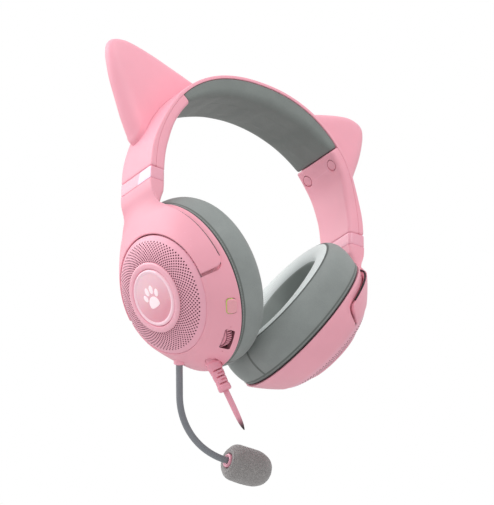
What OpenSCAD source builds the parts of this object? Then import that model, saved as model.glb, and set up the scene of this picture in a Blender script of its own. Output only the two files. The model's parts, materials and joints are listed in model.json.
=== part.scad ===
// Gaming headset: padded headband with two cat ears, sliding yokes, tilting ear cups,
// a sliding boom microphone with a bending tip, a mute button and a volume wheel.
// Units mm, +Z up, the wearer faces -Y, the wearer's left is +X.
// Origin: the middle of the flat under the headband pad.

/* [Headband] */
// Width of the band over the head
band_w = 36.8; // [35:0.2:38]
// Width of the band at its two arms
arm_w = 30.4; // [29:0.2:31]
// Thickness of the outer cover
cover_t = 2.2; // [1.8:0.1:2.3]
// Thickness of the pad on top of the head
pad_t = 9.8; // [8:0.1:9.8]

/* [Ear cups] */
// Tilt of the cups, bottom edges inward
tilt = 31.2; // [29:0.1:31.2]
// Wall of the cup housings
wall = 2; // [1.6:0.1:2.2]
// Radius of the driver frame
driver_r = 20; // [18:0.5:20.5]

/* [Microphone and cable] */
// Diameter of the boom
boom_d = 4; // [3.8:0.05:4.05]
// Diameter of the foam windscreen
screen_d = 22; // [20:0.5:24]
// Length of the foam windscreen
screen_l = 29; // [26:0.5:30]
// Diameter of the cable
cable_d = 3.4; // [3:0.1:3.8]

/* [Hidden] */
$fn = 64;

pink = [1, 0.70, 0.76];
collar_pink = [1, 0.78, 0.84];
medallion_pink = [1, 0.8, 0.86];
ear_lens_pink = [1, 0.9, 0.93];
grey = [0.52, 0.56, 0.54];
foam_grey = [0.45, 0.45, 0.44];
dark = [0.2, 0.2, 0.21];
scrim_black = [0.1, 0.1, 0.1];
steel = [0.7, 0.7, 0.72];
board_green = [0.2, 0.4, 0.25];

left = 1;
right = -1;
slice = 0.02;         // thickness of a hull station

// Band curve: a superellipse in the X-Z plane. Angles run from its top toward the arms,
// depths inward from its outer face.
curve_z = 122;
curve_rx = 75;
curve_rz = 82.7;
curve_power = 2.2;
arm_t = 8;
pad_depth = 4.3;      // outer face of the pad
band_end = 88;        // angle where the band arms stop
pad_end = 47;         // angle where the pad stops
pad_bottom = curve_z + curve_rz - pad_depth - pad_t;

function band_point(angle, depth) = [
  (curve_rx - depth) * sign(sin(angle)) * pow(abs(sin(angle)), 2 / curve_power),
  curve_z + (curve_rz - depth) * pow(abs(cos(angle)), 2 / curve_power)];
function pad_inner(angle) =
  pad_depth + pad_t - (pad_depth + pad_t - arm_t) * pow(abs(angle) / pad_end, 2.4);
function span(from, to, steps) = [for (i = [0:steps]) from + (to - from) * i / steps];
function reversed(list) = [for (i = [len(list) - 1:-1:0]) list[i]];

module place(side = left) translate([0, 0, -pad_bottom]) mirror([side < 0 ? 1 : 0, 0, 0]) children();
module box(corner, size) translate(corner) cube(size);
module turn(angle) rotate([0, 0, angle]) children();
// cylinder on the z axis, starting at z
module disc(r, z, h = slice) translate([0, 0, z]) cylinder(r = r, h = h);
module oval(rx, ry, z, h = slice, y = 0)
  translate([0, y, z]) scale([rx, ry, 1]) cylinder(r = 1, h = h, $fn = 48);
// X-Z outline given a width in Y
module slab(width, y = 0)
  rotate([90, 0, 0]) translate([0, 0, -width / 2 - y]) linear_extrude(width) children();
module band(from, to, outer, inner, width, steps) {
  angles = span(from, to, steps);
  slab(width) polygon(concat([for (t = angles) band_point(t, outer)],
                             reversed([for (t = angles) band_point(t, inner)])));
}
// Y-Z outline that narrows the band from its top to its arms
module taper() rotate([90, 0, 90]) translate([0, 0, -120]) linear_extrude(240)
  polygon([[-band_w / 2, 175], [-band_w / 2, 215], [band_w / 2, 215], [band_w / 2, 175],
           [arm_w / 2, 142], [arm_w / 2, 100], [-arm_w / 2, 100], [-arm_w / 2, 142]]);

// Slider: the tongue moves along a line that leans inward as it rises
slide_x = 71.3;       // at height curve_z
slide_slope = 0.15;
slide_lean = 8.53;
tongue_t = 1.6;
tongue_w = 20;
tongue_z = 112;
module on_slide(z)
  translate([slide_x - slide_slope * (z - curve_z), 0, z]) rotate([0, -slide_lean, 0]) children();
module tongue_bar(z, length, gap_x = 0, gap_y = 0)
  box([-tongue_t / 2 - gap_x, -tongue_w / 2 - gap_y, z],
      [tongue_t + 2 * gap_x, tongue_w + 2 * gap_y, length]);
module at_yoke_screws(x) for (y = [-6, 6]) translate([x, y, 0.2]) rotate([0, 90, 0]) children();

// ---- Headband ----
module headband_cover() color(pink) place() intersection() {
  band(-band_end, band_end, 0, cover_t, 60, 56);
  taper();
}
module headband_spring() color(steel) place() band(-44, 44, 2.5, 3.5, 20, 23);
module headband_pad() color(grey) place() {
  angles = span(-pad_end, pad_end, 23);
  slab(band_w - 1.2) polygon(concat([for (t = angles) band_point(t, pad_depth)],
                                    reversed([for (t = angles) band_point(t, pad_inner(t))])));
}
module crossover_cable() color(dark) place() translate([0, 13, 0]) band(-45, 45, 2.7, 3.9, 1.2, 23);

// screws on the inner face of each arm, z pointing inward
cover_screw_at = band_point(54, arm_t);
module at_cover_screws() for (y = [-12.2, 12.2])
  translate([cover_screw_at[0], y, cover_screw_at[1]]) rotate([0, 180 + 47.5, 0]) children();
module inner_cover(side) color(pink) place(side) difference() {
  intersection() {
    band(48, band_end, cover_t + 0.1, arm_t, 60, 20);
    taper();
  }
  on_slide(100) tongue_bar(0, 57.6, 0.1, 0.15);
  at_cover_screws() {
    disc(3.35, -2, 10);
    disc(1.35, -9, 12);
  }
}
module inner_cover_left() inner_cover(left);
module inner_cover_right() inner_cover(right);
module inner_cover_screws() color(steel) for (side = [left, right]) place(side) at_cover_screws() {
  disc(2.4, -1.95, 1);
  disc(1.3, -5.2, 3.3);
}
module screw_caps() color(pink) for (side = [left, right]) place(side)
  at_cover_screws() disc(3.1, -0.9, 0.9);

// ---- Cat ears ----
ear_y = -8.3;
ear_wall = 1.7;
// X-Z outline of the ear's front window
module ear_window(inset, y0, y1) slab(y1 - y0, (y0 + y1) / 2) polygon([
  [74 - inset, 172 + inset * 2], [83.5 - inset, 198], [84.5 - inset, 209 - inset],
  [82 - inset, 211.5 - inset], [72, 211 - inset], [58 + inset * 2, 206 - inset]]);
module ear_ball(point, r, facets)
  translate([point[0], ear_y, point[1]]) sphere(r = r, $fn = facets);
module ear_body(inset) hull() {
  ear_ball(band_point(64, 6), 7.8 - inset, 32);
  ear_ball(band_point(27, 6), 7.8 - inset, 32);
  ear_ball([82.6, 179], 4.2 - inset, 24);
  ear_ball([55, 208.4], 4.6 - inset, 24);
  ear_ball([86.8, 212.8], 4.4 - inset, 24);
}
module ear_shell(side) color(pink) place(side) difference() {
  ear_body(0);
  ear_body(ear_wall);
  band(8, 86, -0.06, 30, 60, 40);
  ear_window(0, -20, -11);
}
module ear_shell_left() ear_shell(left);
module ear_shell_right() ear_shell(right);
module ear_lens(side) color(ear_lens_pink) place(side) ear_window(0.15, -12.6, -11.1);
module ear_lens_left() ear_lens(left);
module ear_lens_right() ear_lens(right);
module ear_board(side) color(board_green) place(side) ear_window(2.6, -9.6, -8.4);
module ear_light_board_left() ear_board(left);
module ear_light_board_right() ear_board(right);

// ---- Slider ----
module slider_tongue(side) color(steel) place(side) on_slide(tongue_z) difference() {
  tongue_bar(-3, 48);
  at_yoke_screws(-2) cylinder(r = 1.3, h = 4);
}
module slider_tongue_left() slider_tongue(left);
module slider_tongue_right() slider_tongue(right);
// X-Z outline of the collar at the foot of the arm
collar_outline = [[67.1, 117.7], [66.9, 122], [67.05, 125.45], [75, 125.6], [75.1, 122], [75.1, 117.7]];
module slider_collar(side) color(collar_pink) place(side) difference() {
  slab(arm_w) polygon(collar_outline);
  on_slide(108) tongue_bar(0, 30, 0.05, 0.05);
}
module slider_collar_left() slider_collar(left);
module slider_collar_right() slider_collar(right);

// ---- Cup frame: x aft, y up the cup, z outward ----
cup_at = [56.4, 0, 53.7];
cup_rx = 44.45;       // housing rim
cup_ry = 50.8;
yoke_hole_r = 35.8;   // round opening of the yoke
grille_r = 35;
pivot_y = 1;
pivot_z = -5.2;
pin_start = 34;       // inner end of the pins, from the cup axis
pin_r = 1.5;
baffle_screw_sites = [[26, 30], [-26, 30], [34, -8], [-32, -14]];
module in_cup(side = left)
  place(side) translate(cup_at) rotate([0, 90 + tilt, 0]) rotate([0, 0, 90]) children();
// the two pivots, fore and aft, z pointing away from the cup axis
module at_pivots(x) for (angle = [0, 180]) turn(angle)
  translate([x, angle == 0 ? pivot_y : -pivot_y, pivot_z]) rotate([0, 90, 0]) children();
module pins(r, end) at_pivots(pin_start) cylinder(r = r, h = end - pin_start);
module at_baffle_screws(z)
  for (site = baffle_screw_sites) translate([site[0], site[1], z]) children();

// ---- Yoke ----
module yoke_inside(inset) hull() {
  disc(yoke_hole_r - inset, -2.2 - inset);
  oval(41.7 - inset, 47.9 - inset, -10.6 - inset);
  oval(42.6 - inset, 49 - inset, -13);
}
// hood over the upper half of the cup
module yoke_hood() difference() {
  intersection() {
    hull() {
      disc(37, -0.05);
      oval(44.6, 51.2, -10.6);
      oval(44.4, 51.2, -11.5);
    }
    box([-60, -2, -11.5], [120, 70, 20]);
  }
  yoke_inside(0);
  disc(yoke_hole_r, -20, 40);
}
// the neck stops short of the housing
module yoke_neck(side) difference() {
  place(side) hull() {
    box([67.1, -arm_w / 2, 117], [8, arm_w, 0.6]);
    box([68.6, -17, 106], [6.4, 34, 1]);
    box([71.6, -17.5, 87], [2.8, 35, 1]);
  }
  place(side) box([60, -30, 80], [8.2, 60, 25]);
  in_cup(side) {
    hull() {
      disc(36, -1.6);
      oval(45.8, 52, -12);
      oval(46, 52.2, -17.5);
    }
    disc(yoke_hole_r, -20, 40);
  }
}
module yoke(side) color(pink) difference() {
  union() {
    in_cup(side) yoke_hood();
    yoke_neck(side);
  }
  place(side) on_slide(tongue_z) {
    tongue_bar(-3.1, 30, 0.05, 0.05);
    at_yoke_screws(-9) {
      cylinder(r = 1.3, h = 10.1);
      cylinder(r = 2.5, h = 6.85);
    }
  }
  in_cup(side) pins(pin_r, 39.4);
}
module yoke_left() yoke(left);
module yoke_right() yoke(right);
module pivot_pins(side) color(steel) in_cup(side) pins(pin_r, 39.3);
module pivot_pins_left() pivot_pins(left);
module pivot_pins_right() pivot_pins(right);
module yoke_screws(side) color(steel) place(side) on_slide(tongue_z) at_yoke_screws(-2.1) {
  disc(1.25, -0.3, 3.4);
  disc(2.3, -1.2, 1.03);
}
module yoke_screws_left() yoke_screws(left);
module yoke_screws_right() yoke_screws(right);

// ---- Left cup controls, cable and microphone ----
// directions around the cup, from aft; negative is toward the bottom
button_dir = -35.1;
wheel_dir = -63;
button_w = 8.6;
button_h = 5;
button_z = -14.1;
button_gap = 0.2;
wheel_x = 37.4;       // wheel axis, from the cup axis
wheel_z = -13.5;
wheel_r = 9;
wheel_h = 4;
wheel_gap = 0.4;      // above and below the wheel
cable_z = -12.1;
// Microphone frame: the boom runs along +y from its socket, then bends toward +x
mic_at = [-21.13, -36.39, -8];
mic_turn = 143.7;
mic_roll = 113.8;
socket_r = 3.25;
straight_l = 21;
bend_r = 48.7;
bend_joint = 50;      // angle where the boom meets its tip
bend_end = 66;
// z runs down the cup from its centre line
module on_cable() translate([0, 0, cable_z]) rotate([90, 0, 0]) children();
module mic_frame() translate(mic_at) turn(mic_turn) rotate([0, mic_roll, 0]) children();

// ---- Cups ----
module housing_shell() difference() {
  hull() {
    disc(35.7, -slice);
    disc(37.6, -2);
    oval(cup_rx, cup_ry, -17);
  }
  hull() {
    disc(33, -3.2);
    oval(cup_rx - wall - 1, cup_ry - wall - 1, -15.2);
    oval(cup_rx - wall, cup_ry - wall, -17.1);
  }
}
module housing_left_cuts() {
  // mute button
  turn(button_dir) box([38, -button_w / 2 - button_gap, button_z - button_gap],
                       [10, button_w + 2 * button_gap, button_h + 2 * button_gap]);
  // volume wheel
  turn(wheel_dir) {
    box([38, -6.6, wheel_z - wheel_gap], [12, 13.2, wheel_h + 2 * wheel_gap]);
    translate([wheel_x, 0, 0]) disc(wheel_r + 0.25, wheel_z - wheel_gap, wheel_h + 2 * wheel_gap);
  }
  // strain relief
  on_cable() {
    disc(3.6, 38, 14);
    disc(4.5, 45.8, 8);
  }
  // microphone socket
  mic_frame() rotate([90, 0, 0]) disc(socket_r + 0.05, -14, 29);
}
module housing(side) color(pink) in_cup(side) difference() {
  union() {
    housing_shell();
    // bosses for the baffle screws and the pivots
    intersection() {
      yoke_inside(0.55);
      union() {
        at_baffle_screws(-14.5) cylinder(r = 3.4, h = 13);
        at_pivots(31.6) cylinder(r = 3.3, h = 6);
      }
    }
  }
  // grille seat and opening
  disc(grille_r + 0.12, -1.3, 3);
  disc(32.4, -5, 5);
  disc(33.2, -5.05, 2.5);
  // recess under the yoke
  difference() {
    box([-60, -3.8, -12.4], [120, 70, 20]);
    yoke_inside(0.6);
  }
  pins(pin_r + 0.06, 41);
  at_baffle_screws(-14.6) cylinder(r = 1.2, h = 8);
  if (side == left) housing_left_cuts();
}
module housing_left() housing(left);
module housing_right() housing(right);

// Turned profiles: radius, z
grille_profile = [
  [grille_r, -1.2], [grille_r, 0], [33.2, 1.5], [30, 3.6], [25, 5.7], [20.7, 6.9], [17.2, 7.0],
  [17.2, 5.8], [20.3, 5.7], [24.4, 4.5], [29.2, 2.5], [32.4, 0.2], [32.4, -1.2]];
ring_profile = [
  [17.1, 1.6], [17.1, 7.05], [20.6, 7.05], [20.4, 7.8], [17.2, 8.1],
  [16.8, 7.6], [16.8, 5.9], [15.4, 5.9], [15.4, 1.6]];
holes_per_row = 26;
module grille(side) color(pink) in_cup(side) difference() {
  rotate_extrude() polygon(grille_profile);
  // three staggered rows of holes
  for (row = [0:2]) for (k = [0:holes_per_row - 1]) turn((k + row / 2) * 360 / holes_per_row)
    translate([23.5 + row * 3.3, 0, 0]) cylinder(r = 0.8, h = 9, $fn = 24);
}
module grille_left() grille(left);
module grille_right() grille(right);
module medallion_ring(side) color(pink) in_cup(side) rotate_extrude() polygon(ring_profile);
module medallion_ring_left() medallion_ring(left);
module medallion_ring_right() medallion_ring(right);
dome_r = 55;
module medallion_lens(side) color(medallion_pink) in_cup(side) difference() {
  intersection() {
    translate([0, 0, -46]) sphere(r = dome_r, $fn = 96);
    disc(16.7, 5.95, 6);
  }
  translate([0, 0, -48]) sphere(r = dome_r, $fn = 96);
}
module medallion_lens_left() medallion_lens(left);
module medallion_lens_right() medallion_lens(right);
module light_board(side) color(board_green) in_cup(side) union() {
  disc(15.3, 1.7, 1.2);
  for (k = [0:5]) turn(60 * k) box([9, -1.2, 2.9], [2.4, 2.4, 0.9]);
}
module light_board_left() light_board(left);
module light_board_right() light_board(right);
module driver(side) color(dark) in_cup(side) difference() {
  union() {
    disc(driver_r, -14.55, 2.2);
    disc(11, -12.4, 1.4);
    disc(16.5, -15.6, 1.2);
  }
  // ring groove
  translate([0, 0, -16]) difference() {
    cylinder(r = 14.5, h = 1.2);
    cylinder(r = 7, h = 1.2);
  }
}
module driver_left() driver(left);
module driver_right() driver(right);
module baffle(side) color(dark) in_cup(side) difference() {
  oval(cup_rx - wall - 1.5, cup_ry - wall - 1.75, -16.9, 2.2);
  box([-5.4, -60, -17.2], [10.8, 24.4, 5]);   // notch at the bottom
  disc(16.8, -17, 4);
  at_baffle_screws(-17) {
    cylinder(r = 1.35, h = 4);
    cylinder(r = 2.5, h = 1.1);
  }
  for (k = [0:5]) turn(60 * k + 30) translate([24, 0, -17]) cylinder(r = 1.5, h = 4);
}
module baffle_left() baffle(left);
module baffle_right() baffle(right);
module baffle_screws(side) color(steel) in_cup(side) at_baffle_screws(-16.8) {
  cylinder(r = 2.3, h = 0.85);
  cylinder(r = 1.15, h = 8);
}
module baffle_screws_left() baffle_screws(left);
module baffle_screws_right() baffle_screws(right);

opening_r = 22.5;     // end radius of the cushion opening
opening_y = 1.5;
module stadium(r, h, half = 11) {
  for (end = [-1, 1]) translate([0, end * half, 0]) cylinder(r = r, h = h);
  box([-r, -half, 0], [2 * r, 2 * half, h]);
}
module cushion(side) color(grey) in_cup(side) difference() {
  hull() {
    oval(42.8, 49.2, -17.15, y = 0.1);
    oval(44.2, 50.3, -20, y = 0.2);
    oval(44.2, 50, -31, y = 0.8);
    oval(42.6, 47.8, -36, y = 1.1);
    oval(40, 44.6, -39, y = 1.3);
    oval(37, 41, -40.6, y = 1.4);
  }
  translate([0, opening_y, -50]) stadium(opening_r, 40);
}
module cushion_left() cushion(left);
module cushion_right() cushion(right);
module scrim(side) color(scrim_black) in_cup(side)
  translate([0, opening_y, -17.7]) stadium(opening_r - 0.2, 0.7);
module scrim_left() scrim(left);
module scrim_right() scrim(right);

// ---- Left cup extras ----
module control_board() color(board_green) in_cup() union() {
  turn(-50) box([26, -12.5, -8.6], [8.6, 21.5, 1.2]);
  // spindle of the wheel and its foot
  turn(wheel_dir) {
    translate([wheel_x, 0, 0]) disc(1, -14.2, 5.3);
    intersection() {
      translate([wheel_x, 0, 0]) disc(3, -9.3, 1.2);
      disc(37.3, -10, 3);
    }
  }
  // block behind the button
  turn(button_dir) box([33, -2.5, -12.5], [3.4, 5, 4.5]);
}
module mute_button() color(pink) in_cup() turn(button_dir) union() {
  box([39.6, -button_w / 2, button_z], [4.9, button_w, button_h]);
  box([37.3, -2, -12.8], [2.4, 4, 2.4]);
}
module volume_wheel() color(pink) in_cup() turn(wheel_dir)
  translate([wheel_x, 0, wheel_z]) difference() {
    cylinder(r = wheel_r, h = wheel_h);
    disc(1.05, -1, 6);
    for (k = [0:35]) turn(10 * k) box([wheel_r - 0.25, -0.35, -0.5], [1, 0.7, 5]);
  }
relief_bore = cable_d / 2 - 0.18;
// radius, distance down the cup
relief_profile = [
  [relief_bore, 36.6], [4.6, 36.6], [4.6, 38], [3.5, 38], [3.5, 46], [4.3, 47.2],
  [4.15, 52], [3.5, 63.6], [3.2, 64.6], [relief_bore, 64.6]];
module strain_relief() color(pink) in_cup() on_cable() difference() {
  rotate_extrude() polygon(relief_profile);
  // slots on alternate sides
  for (i = [0:4]) box([i % 2 == 0 ? 2.2 : -6.2, -5, 52 + i * 2.3], [4, 10, 1]);
}
module cable() color(pink) in_cup() on_cable() {
  disc(cable_d / 2 - 0.2, 41, 23.8);
  disc(cable_d / 2, 64.7, 25.1);
}

// ---- Microphone ----
module bend(from, to) translate([bend_r, straight_l, 0]) turn(180 - to)
  rotate_extrude(angle = to - from) translate([bend_r, 0]) circle(r = boom_d / 2);
module at_bend(angle)
  translate([bend_r - bend_r * cos(angle), straight_l + bend_r * sin(angle), 0])
    turn(-angle) children();
// z runs onward from the end of the tip
module on_tip_end() in_cup() mic_frame() at_bend(bend_end) rotate([-90, 0, 0]) children();
module mic_socket() color(pink) in_cup() mic_frame() rotate([90, 0, 0]) difference() {
  disc(socket_r, -1.2, 15);
  disc(boom_d / 2 + 0.04, -5, 30);
}
module mic_boom() color(dark) in_cup() mic_frame() {
  rotate([90, 0, 0]) disc(boom_d / 2 - 0.02, -straight_l, straight_l + 15);
  bend(0, bend_joint);
  at_bend(bend_joint) sphere(r = boom_d / 2 - 0.06);
}
module mic_tip() color(dark) in_cup() mic_frame() difference() {
  bend(bend_joint, bend_end);
  at_bend(bend_joint) sphere(r = boom_d / 2 + 0.3);
}
module mic_collar() color(pink) on_tip_end() rotate_extrude()
  polygon([[0, 0.05], [3.6, 0.05], [4.1, 0.6], [4.1, 3], [0, 3]]);
module mic_capsule() color(dark) on_tip_end() disc(4.5, 3.05, 8);
heel_r = 3.5;         // rounding at the boom end of the foam
nose_r = 9;           // rounding at its far end
module windscreen() color(foam_grey) on_tip_end() rotate_extrude() polygon(concat(
  [[4.2, 0.8], [screen_d / 2 - 3, 0.8]],
  [for (a = [-60:30:0]) [screen_d / 2 - heel_r + heel_r * cos(a), 4.3 + heel_r * sin(a)]],
  [for (a = [0:15:75]) [screen_d / 2 - nose_r + nose_r * cos(a), screen_l - nose_r + nose_r * sin(a)]],
  [[0, screen_l], [0, 11.2], [4.6, 11.2], [4.6, 3.0], [4.2, 3.0]]));

headband_cover();
headband_spring();
headband_pad();
inner_cover_left();
inner_cover_right();
inner_cover_screws();
screw_caps();
crossover_cable();
ear_shell_left();
ear_shell_right();
ear_lens_left();
ear_lens_right();
ear_light_board_left();
ear_light_board_right();
slider_tongue_left();
slider_tongue_right();
slider_collar_left();
slider_collar_right();
yoke_left();
yoke_right();
yoke_screws_left();
yoke_screws_right();
pivot_pins_left();
pivot_pins_right();
housing_left();
housing_right();
grille_left();
grille_right();
medallion_ring_left();
medallion_ring_right();
medallion_lens_left();
medallion_lens_right();
light_board_left();
light_board_right();
driver_left();
driver_right();
baffle_left();
baffle_right();
cushion_left();
cushion_right();
scrim_left();
scrim_right();
baffle_screws_left();
baffle_screws_right();
control_board();
mute_button();
volume_wheel();
strain_relief();
cable();
mic_socket();
mic_boom();
mic_tip();
mic_collar();
mic_capsule();
windscreen();
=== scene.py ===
import bpy
import bmesh
import json
import math
import numpy as np
import openvdb
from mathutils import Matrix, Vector


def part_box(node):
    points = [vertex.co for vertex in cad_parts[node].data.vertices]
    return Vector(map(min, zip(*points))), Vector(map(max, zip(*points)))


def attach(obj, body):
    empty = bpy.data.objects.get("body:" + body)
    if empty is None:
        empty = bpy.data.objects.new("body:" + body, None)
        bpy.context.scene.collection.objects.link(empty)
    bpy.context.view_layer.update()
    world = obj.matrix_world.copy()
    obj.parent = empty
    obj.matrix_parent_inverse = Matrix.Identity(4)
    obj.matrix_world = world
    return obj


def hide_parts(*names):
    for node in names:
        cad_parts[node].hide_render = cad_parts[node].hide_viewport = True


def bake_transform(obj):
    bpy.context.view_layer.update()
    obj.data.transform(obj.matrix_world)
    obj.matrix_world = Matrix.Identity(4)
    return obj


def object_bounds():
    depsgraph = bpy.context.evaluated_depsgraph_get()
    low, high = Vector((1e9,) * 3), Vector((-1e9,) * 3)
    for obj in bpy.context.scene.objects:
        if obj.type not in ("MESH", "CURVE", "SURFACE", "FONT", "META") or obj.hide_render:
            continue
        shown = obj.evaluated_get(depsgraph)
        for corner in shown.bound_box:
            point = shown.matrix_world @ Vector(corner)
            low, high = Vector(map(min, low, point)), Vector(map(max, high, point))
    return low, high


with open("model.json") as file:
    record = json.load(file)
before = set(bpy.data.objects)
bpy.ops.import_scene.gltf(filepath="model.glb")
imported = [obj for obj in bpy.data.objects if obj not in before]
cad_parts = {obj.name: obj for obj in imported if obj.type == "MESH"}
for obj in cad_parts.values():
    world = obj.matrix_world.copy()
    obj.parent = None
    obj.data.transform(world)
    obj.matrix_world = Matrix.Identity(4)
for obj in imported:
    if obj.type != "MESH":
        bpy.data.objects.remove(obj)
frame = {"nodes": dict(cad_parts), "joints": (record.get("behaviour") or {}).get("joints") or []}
CAD_LO, CAD_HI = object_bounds()
NODES = frame["nodes"]
JOINTS = {j["name"]: j for j in frame["joints"]}
SCN = bpy.context.scene

# ------------------------------------------------------------------ frames
# Lengths below are in mm, in the design frame; W() turns them into metres in the row frame.
ZC, RX, RZ, NN = 122.0, 75.0, 82.7, 2.2
Z0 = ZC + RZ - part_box("headband_cover")[1].z * 1000.0
NAX = np.array(JOINTS["volume_spin"]["axis"], float)          # left cup's outward axis
TILT = math.atan2(-NAX[2], NAX[0])
CT, ST = math.cos(TILT), math.sin(TILT)
_pv = np.array(JOINTS["cup_tilt_left"]["pos_m"], float) * 1000.0
_pv[2] += Z0
PIV_Y, PIV_Z = 1.0, -5.2
CO = _pv - PIV_Y * np.array([ST, 0, CT]) - PIV_Z * np.array([CT, 0, -ST])


def W(p, s=1):
    p = np.array(p, float).reshape(-1, 3).copy()
    p[:, 0] *= s
    p[:, 2] -= Z0
    return p / 1000.0


def CUP(p, s=1):
    p = np.array(p, float).reshape(-1, 3)
    return W(np.stack([CO[0] + p[:, 1] * ST + p[:, 2] * CT, CO[1] + p[:, 0], CO[2] + p[:, 1] * CT - p[:, 2] * ST], 1), s)


def bx(t, o):
    a = np.radians(t)
    return (RX - o) * np.sign(np.sin(a)) * np.abs(np.sin(a)) ** (2 / NN)


def bz(t, o):
    return ZC + (RZ - o) * np.abs(np.cos(np.radians(t))) ** (2 / NN)


# ------------------------------------------------------------------ mesh helpers
def rpoly(pts, rad, n=5):
    """A closed outline with each corner rounded to its own radius."""
    P = [np.array(p, float) for p in pts]
    out = []
    m = len(P)
    for i in range(m):
        a, b, c = P[i - 1], P[i], P[(i + 1) % m]
        la, lc = np.linalg.norm(a - b), np.linalg.norm(c - b)
        u, v = (a - b) / la, (c - b) / lc
        ang = math.acos(max(-1, min(1, float(u @ v))))
        d = min(rad[i] / math.tan(ang / 2), 0.49 * la, 0.49 * lc)
        r = d * math.tan(ang / 2)
        cen = b + (u + v) / np.linalg.norm(u + v) * r / math.sin(ang / 2)
        a0, a1 = b + u * d - cen, b + v * d - cen
        A = math.acos(max(-1, min(1, float(a0 @ a1) / (r * r))))
        for k in range(n + 1):
            t = k / n
            out.append(cen + (math.sin((1 - t) * A) * a0 + math.sin(t * A) * a1) / math.sin(A))
    return np.array(out)


def tube_faces(nr, nc, close_c=True, close_r=False, off=0):
    f = []
    for i in range(nr if close_r else nr - 1):
        a, b = off + i * nc, off + ((i + 1) % nr) * nc
        for j in range(nc if close_c else nc - 1):
            k = (j + 1) % nc
            f.append((a + j, a + k, b + k, b + j))
    return f


def loft(rings, close_r=False, cap=True):
    """Rings of equal length joined with quads; open ends are closed with a fan."""
    nr, nc = len(rings), len(rings[0])
    v = np.concatenate(rings)
    f = tube_faces(nr, nc, True, close_r)
    if cap and not close_r:
        v = np.concatenate([v, [np.mean(rings[0], 0)], [np.mean(rings[-1], 0)]])
        n = nr * nc
        f += [(n, (j + 1) % nc, j) for j in range(nc)]
        f += [(n + 1, (nr - 1) * nc + j, (nr - 1) * nc + (j + 1) % nc) for j in range(nc)]
    return v, f


def revolve(prof, n=128, closed=True):
    """prof: (r, z) points; a closed ring-shaped profile unless the ends lie on the axis."""
    rings = []
    for r, z in prof:
        a = np.arange(n) * 2 * math.pi / n
        rings.append(np.stack([r * np.cos(a), r * np.sin(a), np.full(n, z)], 1))
    if closed:
        return loft(rings, close_r=True)
    return loft(rings, cap=True)


def build(name, v, f, mat, body=None, rep=(), sharp=32, wn=False):
    me = bpy.data.meshes.new(name)
    me.from_pydata([tuple(x) for x in np.asarray(v, float)], [], [tuple(int(i) for i in q) for q in f])
    bm = bmesh.new()
    bm.from_mesh(me)
    bmesh.ops.remove_doubles(bm, verts=bm.verts, dist=2e-6)
    bmesh.ops.recalc_face_normals(bm, faces=bm.faces)
    bm.to_mesh(me)
    bm.free()
    ob = bpy.data.objects.new(name, me)
    SCN.collection.objects.link(ob)
    finish_piece(ob, mat, body, rep, sharp, wn)
    return ob


def finish_piece(ob, mat, body=None, rep=(), sharp=32, wn=False):
    me = ob.data
    if mat is not None:
        me.materials.clear()
        me.materials.append(mat)
    me.polygons.foreach_set("use_smooth", [True] * len(me.polygons))
    if sharp:
        me.set_sharp_from_angle(angle=math.radians(sharp))
    if wn:
        m = ob.modifiers.new("wn", "WEIGHTED_NORMAL")
        m.keep_sharp = True
    if rep:
        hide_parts(*rep)
    if body:
        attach(ob, body)
    me.update()


def face_centres(me):
    c = np.zeros(len(me.polygons) * 3, np.float32)
    me.polygons.foreach_get("center", c)
    return c.reshape(-1, 3).astype(float)


def face_normals(me):
    c = np.zeros(len(me.polygons) * 3, np.float32)
    me.polygons.foreach_get("normal", c)
    return c.reshape(-1, 3).astype(float)


def local_dir(d, s):
    """A direction in the row frame, turned into the cup's frame."""
    d = d * np.array([s, 1.0, 1.0])
    return np.stack([d[:, 1], d[:, 0] * ST + d[:, 2] * CT, d[:, 0] * CT - d[:, 2] * ST], 1)


def local_cup(p, s):
    """A point in the row frame, turned into the cup's frame in mm."""
    q = p * 1000.0 * np.array([s, 1.0, 1.0])
    q[:, 2] += Z0
    return local_dir((q - CO) * np.array([s, 1.0, 1.0]), s)


def solid_tmp(name, v, f):
    return build(name, v, f, None, sharp=0)


def boolean(ob, cutters, op="DIFFERENCE"):
    """Applies exact booleans and removes the cutters."""
    for c in cutters:
        m = ob.modifiers.new("b", "BOOLEAN")
        m.operation = op
        m.solver = "EXACT"
        m.object = c
        dg = bpy.context.evaluated_depsgraph_get()
        dg.update()
        me = bpy.data.meshes.new_from_object(ob.evaluated_get(dg))
        ob.modifiers.remove(m)
        old = ob.data
        ob.data = me
        bpy.data.meshes.remove(old)
    for c in cutters:
        me = c.data
        bpy.data.objects.remove(c)
        bpy.data.meshes.remove(me)
    return ob


def join(a, b):
    """Adds b's mesh to a's."""
    bm = bmesh.new()
    bm.from_mesh(a.data)
    bm.from_mesh(b.data)
    bm.to_mesh(a.data)
    bm.free()
    me = b.data
    bpy.data.objects.remove(b)
    bpy.data.meshes.remove(me)
    return a


def apply_mods(ob):
    dg = bpy.context.evaluated_depsgraph_get()
    dg.update()
    me = bpy.data.meshes.new_from_object(ob.evaluated_get(dg))
    for m in list(ob.modifiers):
        ob.modifiers.remove(m)
    old = ob.data
    ob.data = me
    bpy.data.meshes.remove(old)


def box_pts(x0, x1, y0, y1, z0, z1):
    v = np.array([[x, y, z] for z in (z0, z1) for x, y in ((x0, y0), (x1, y0), (x1, y1), (x0, y1))], float)
    f = [(0, 3, 2, 1), (4, 5, 6, 7), (0, 1, 5, 4), (1, 2, 6, 5), (2, 3, 7, 6), (3, 0, 4, 7)]
    return v, f


def rbox(x0, x1, prof):
    """prof: closed (y, z) outline swept from x0 to x1."""
    return loft([np.stack([np.full(len(prof), x), prof[:, 0], prof[:, 1]], 1) for x in (x0, x1)])


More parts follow.
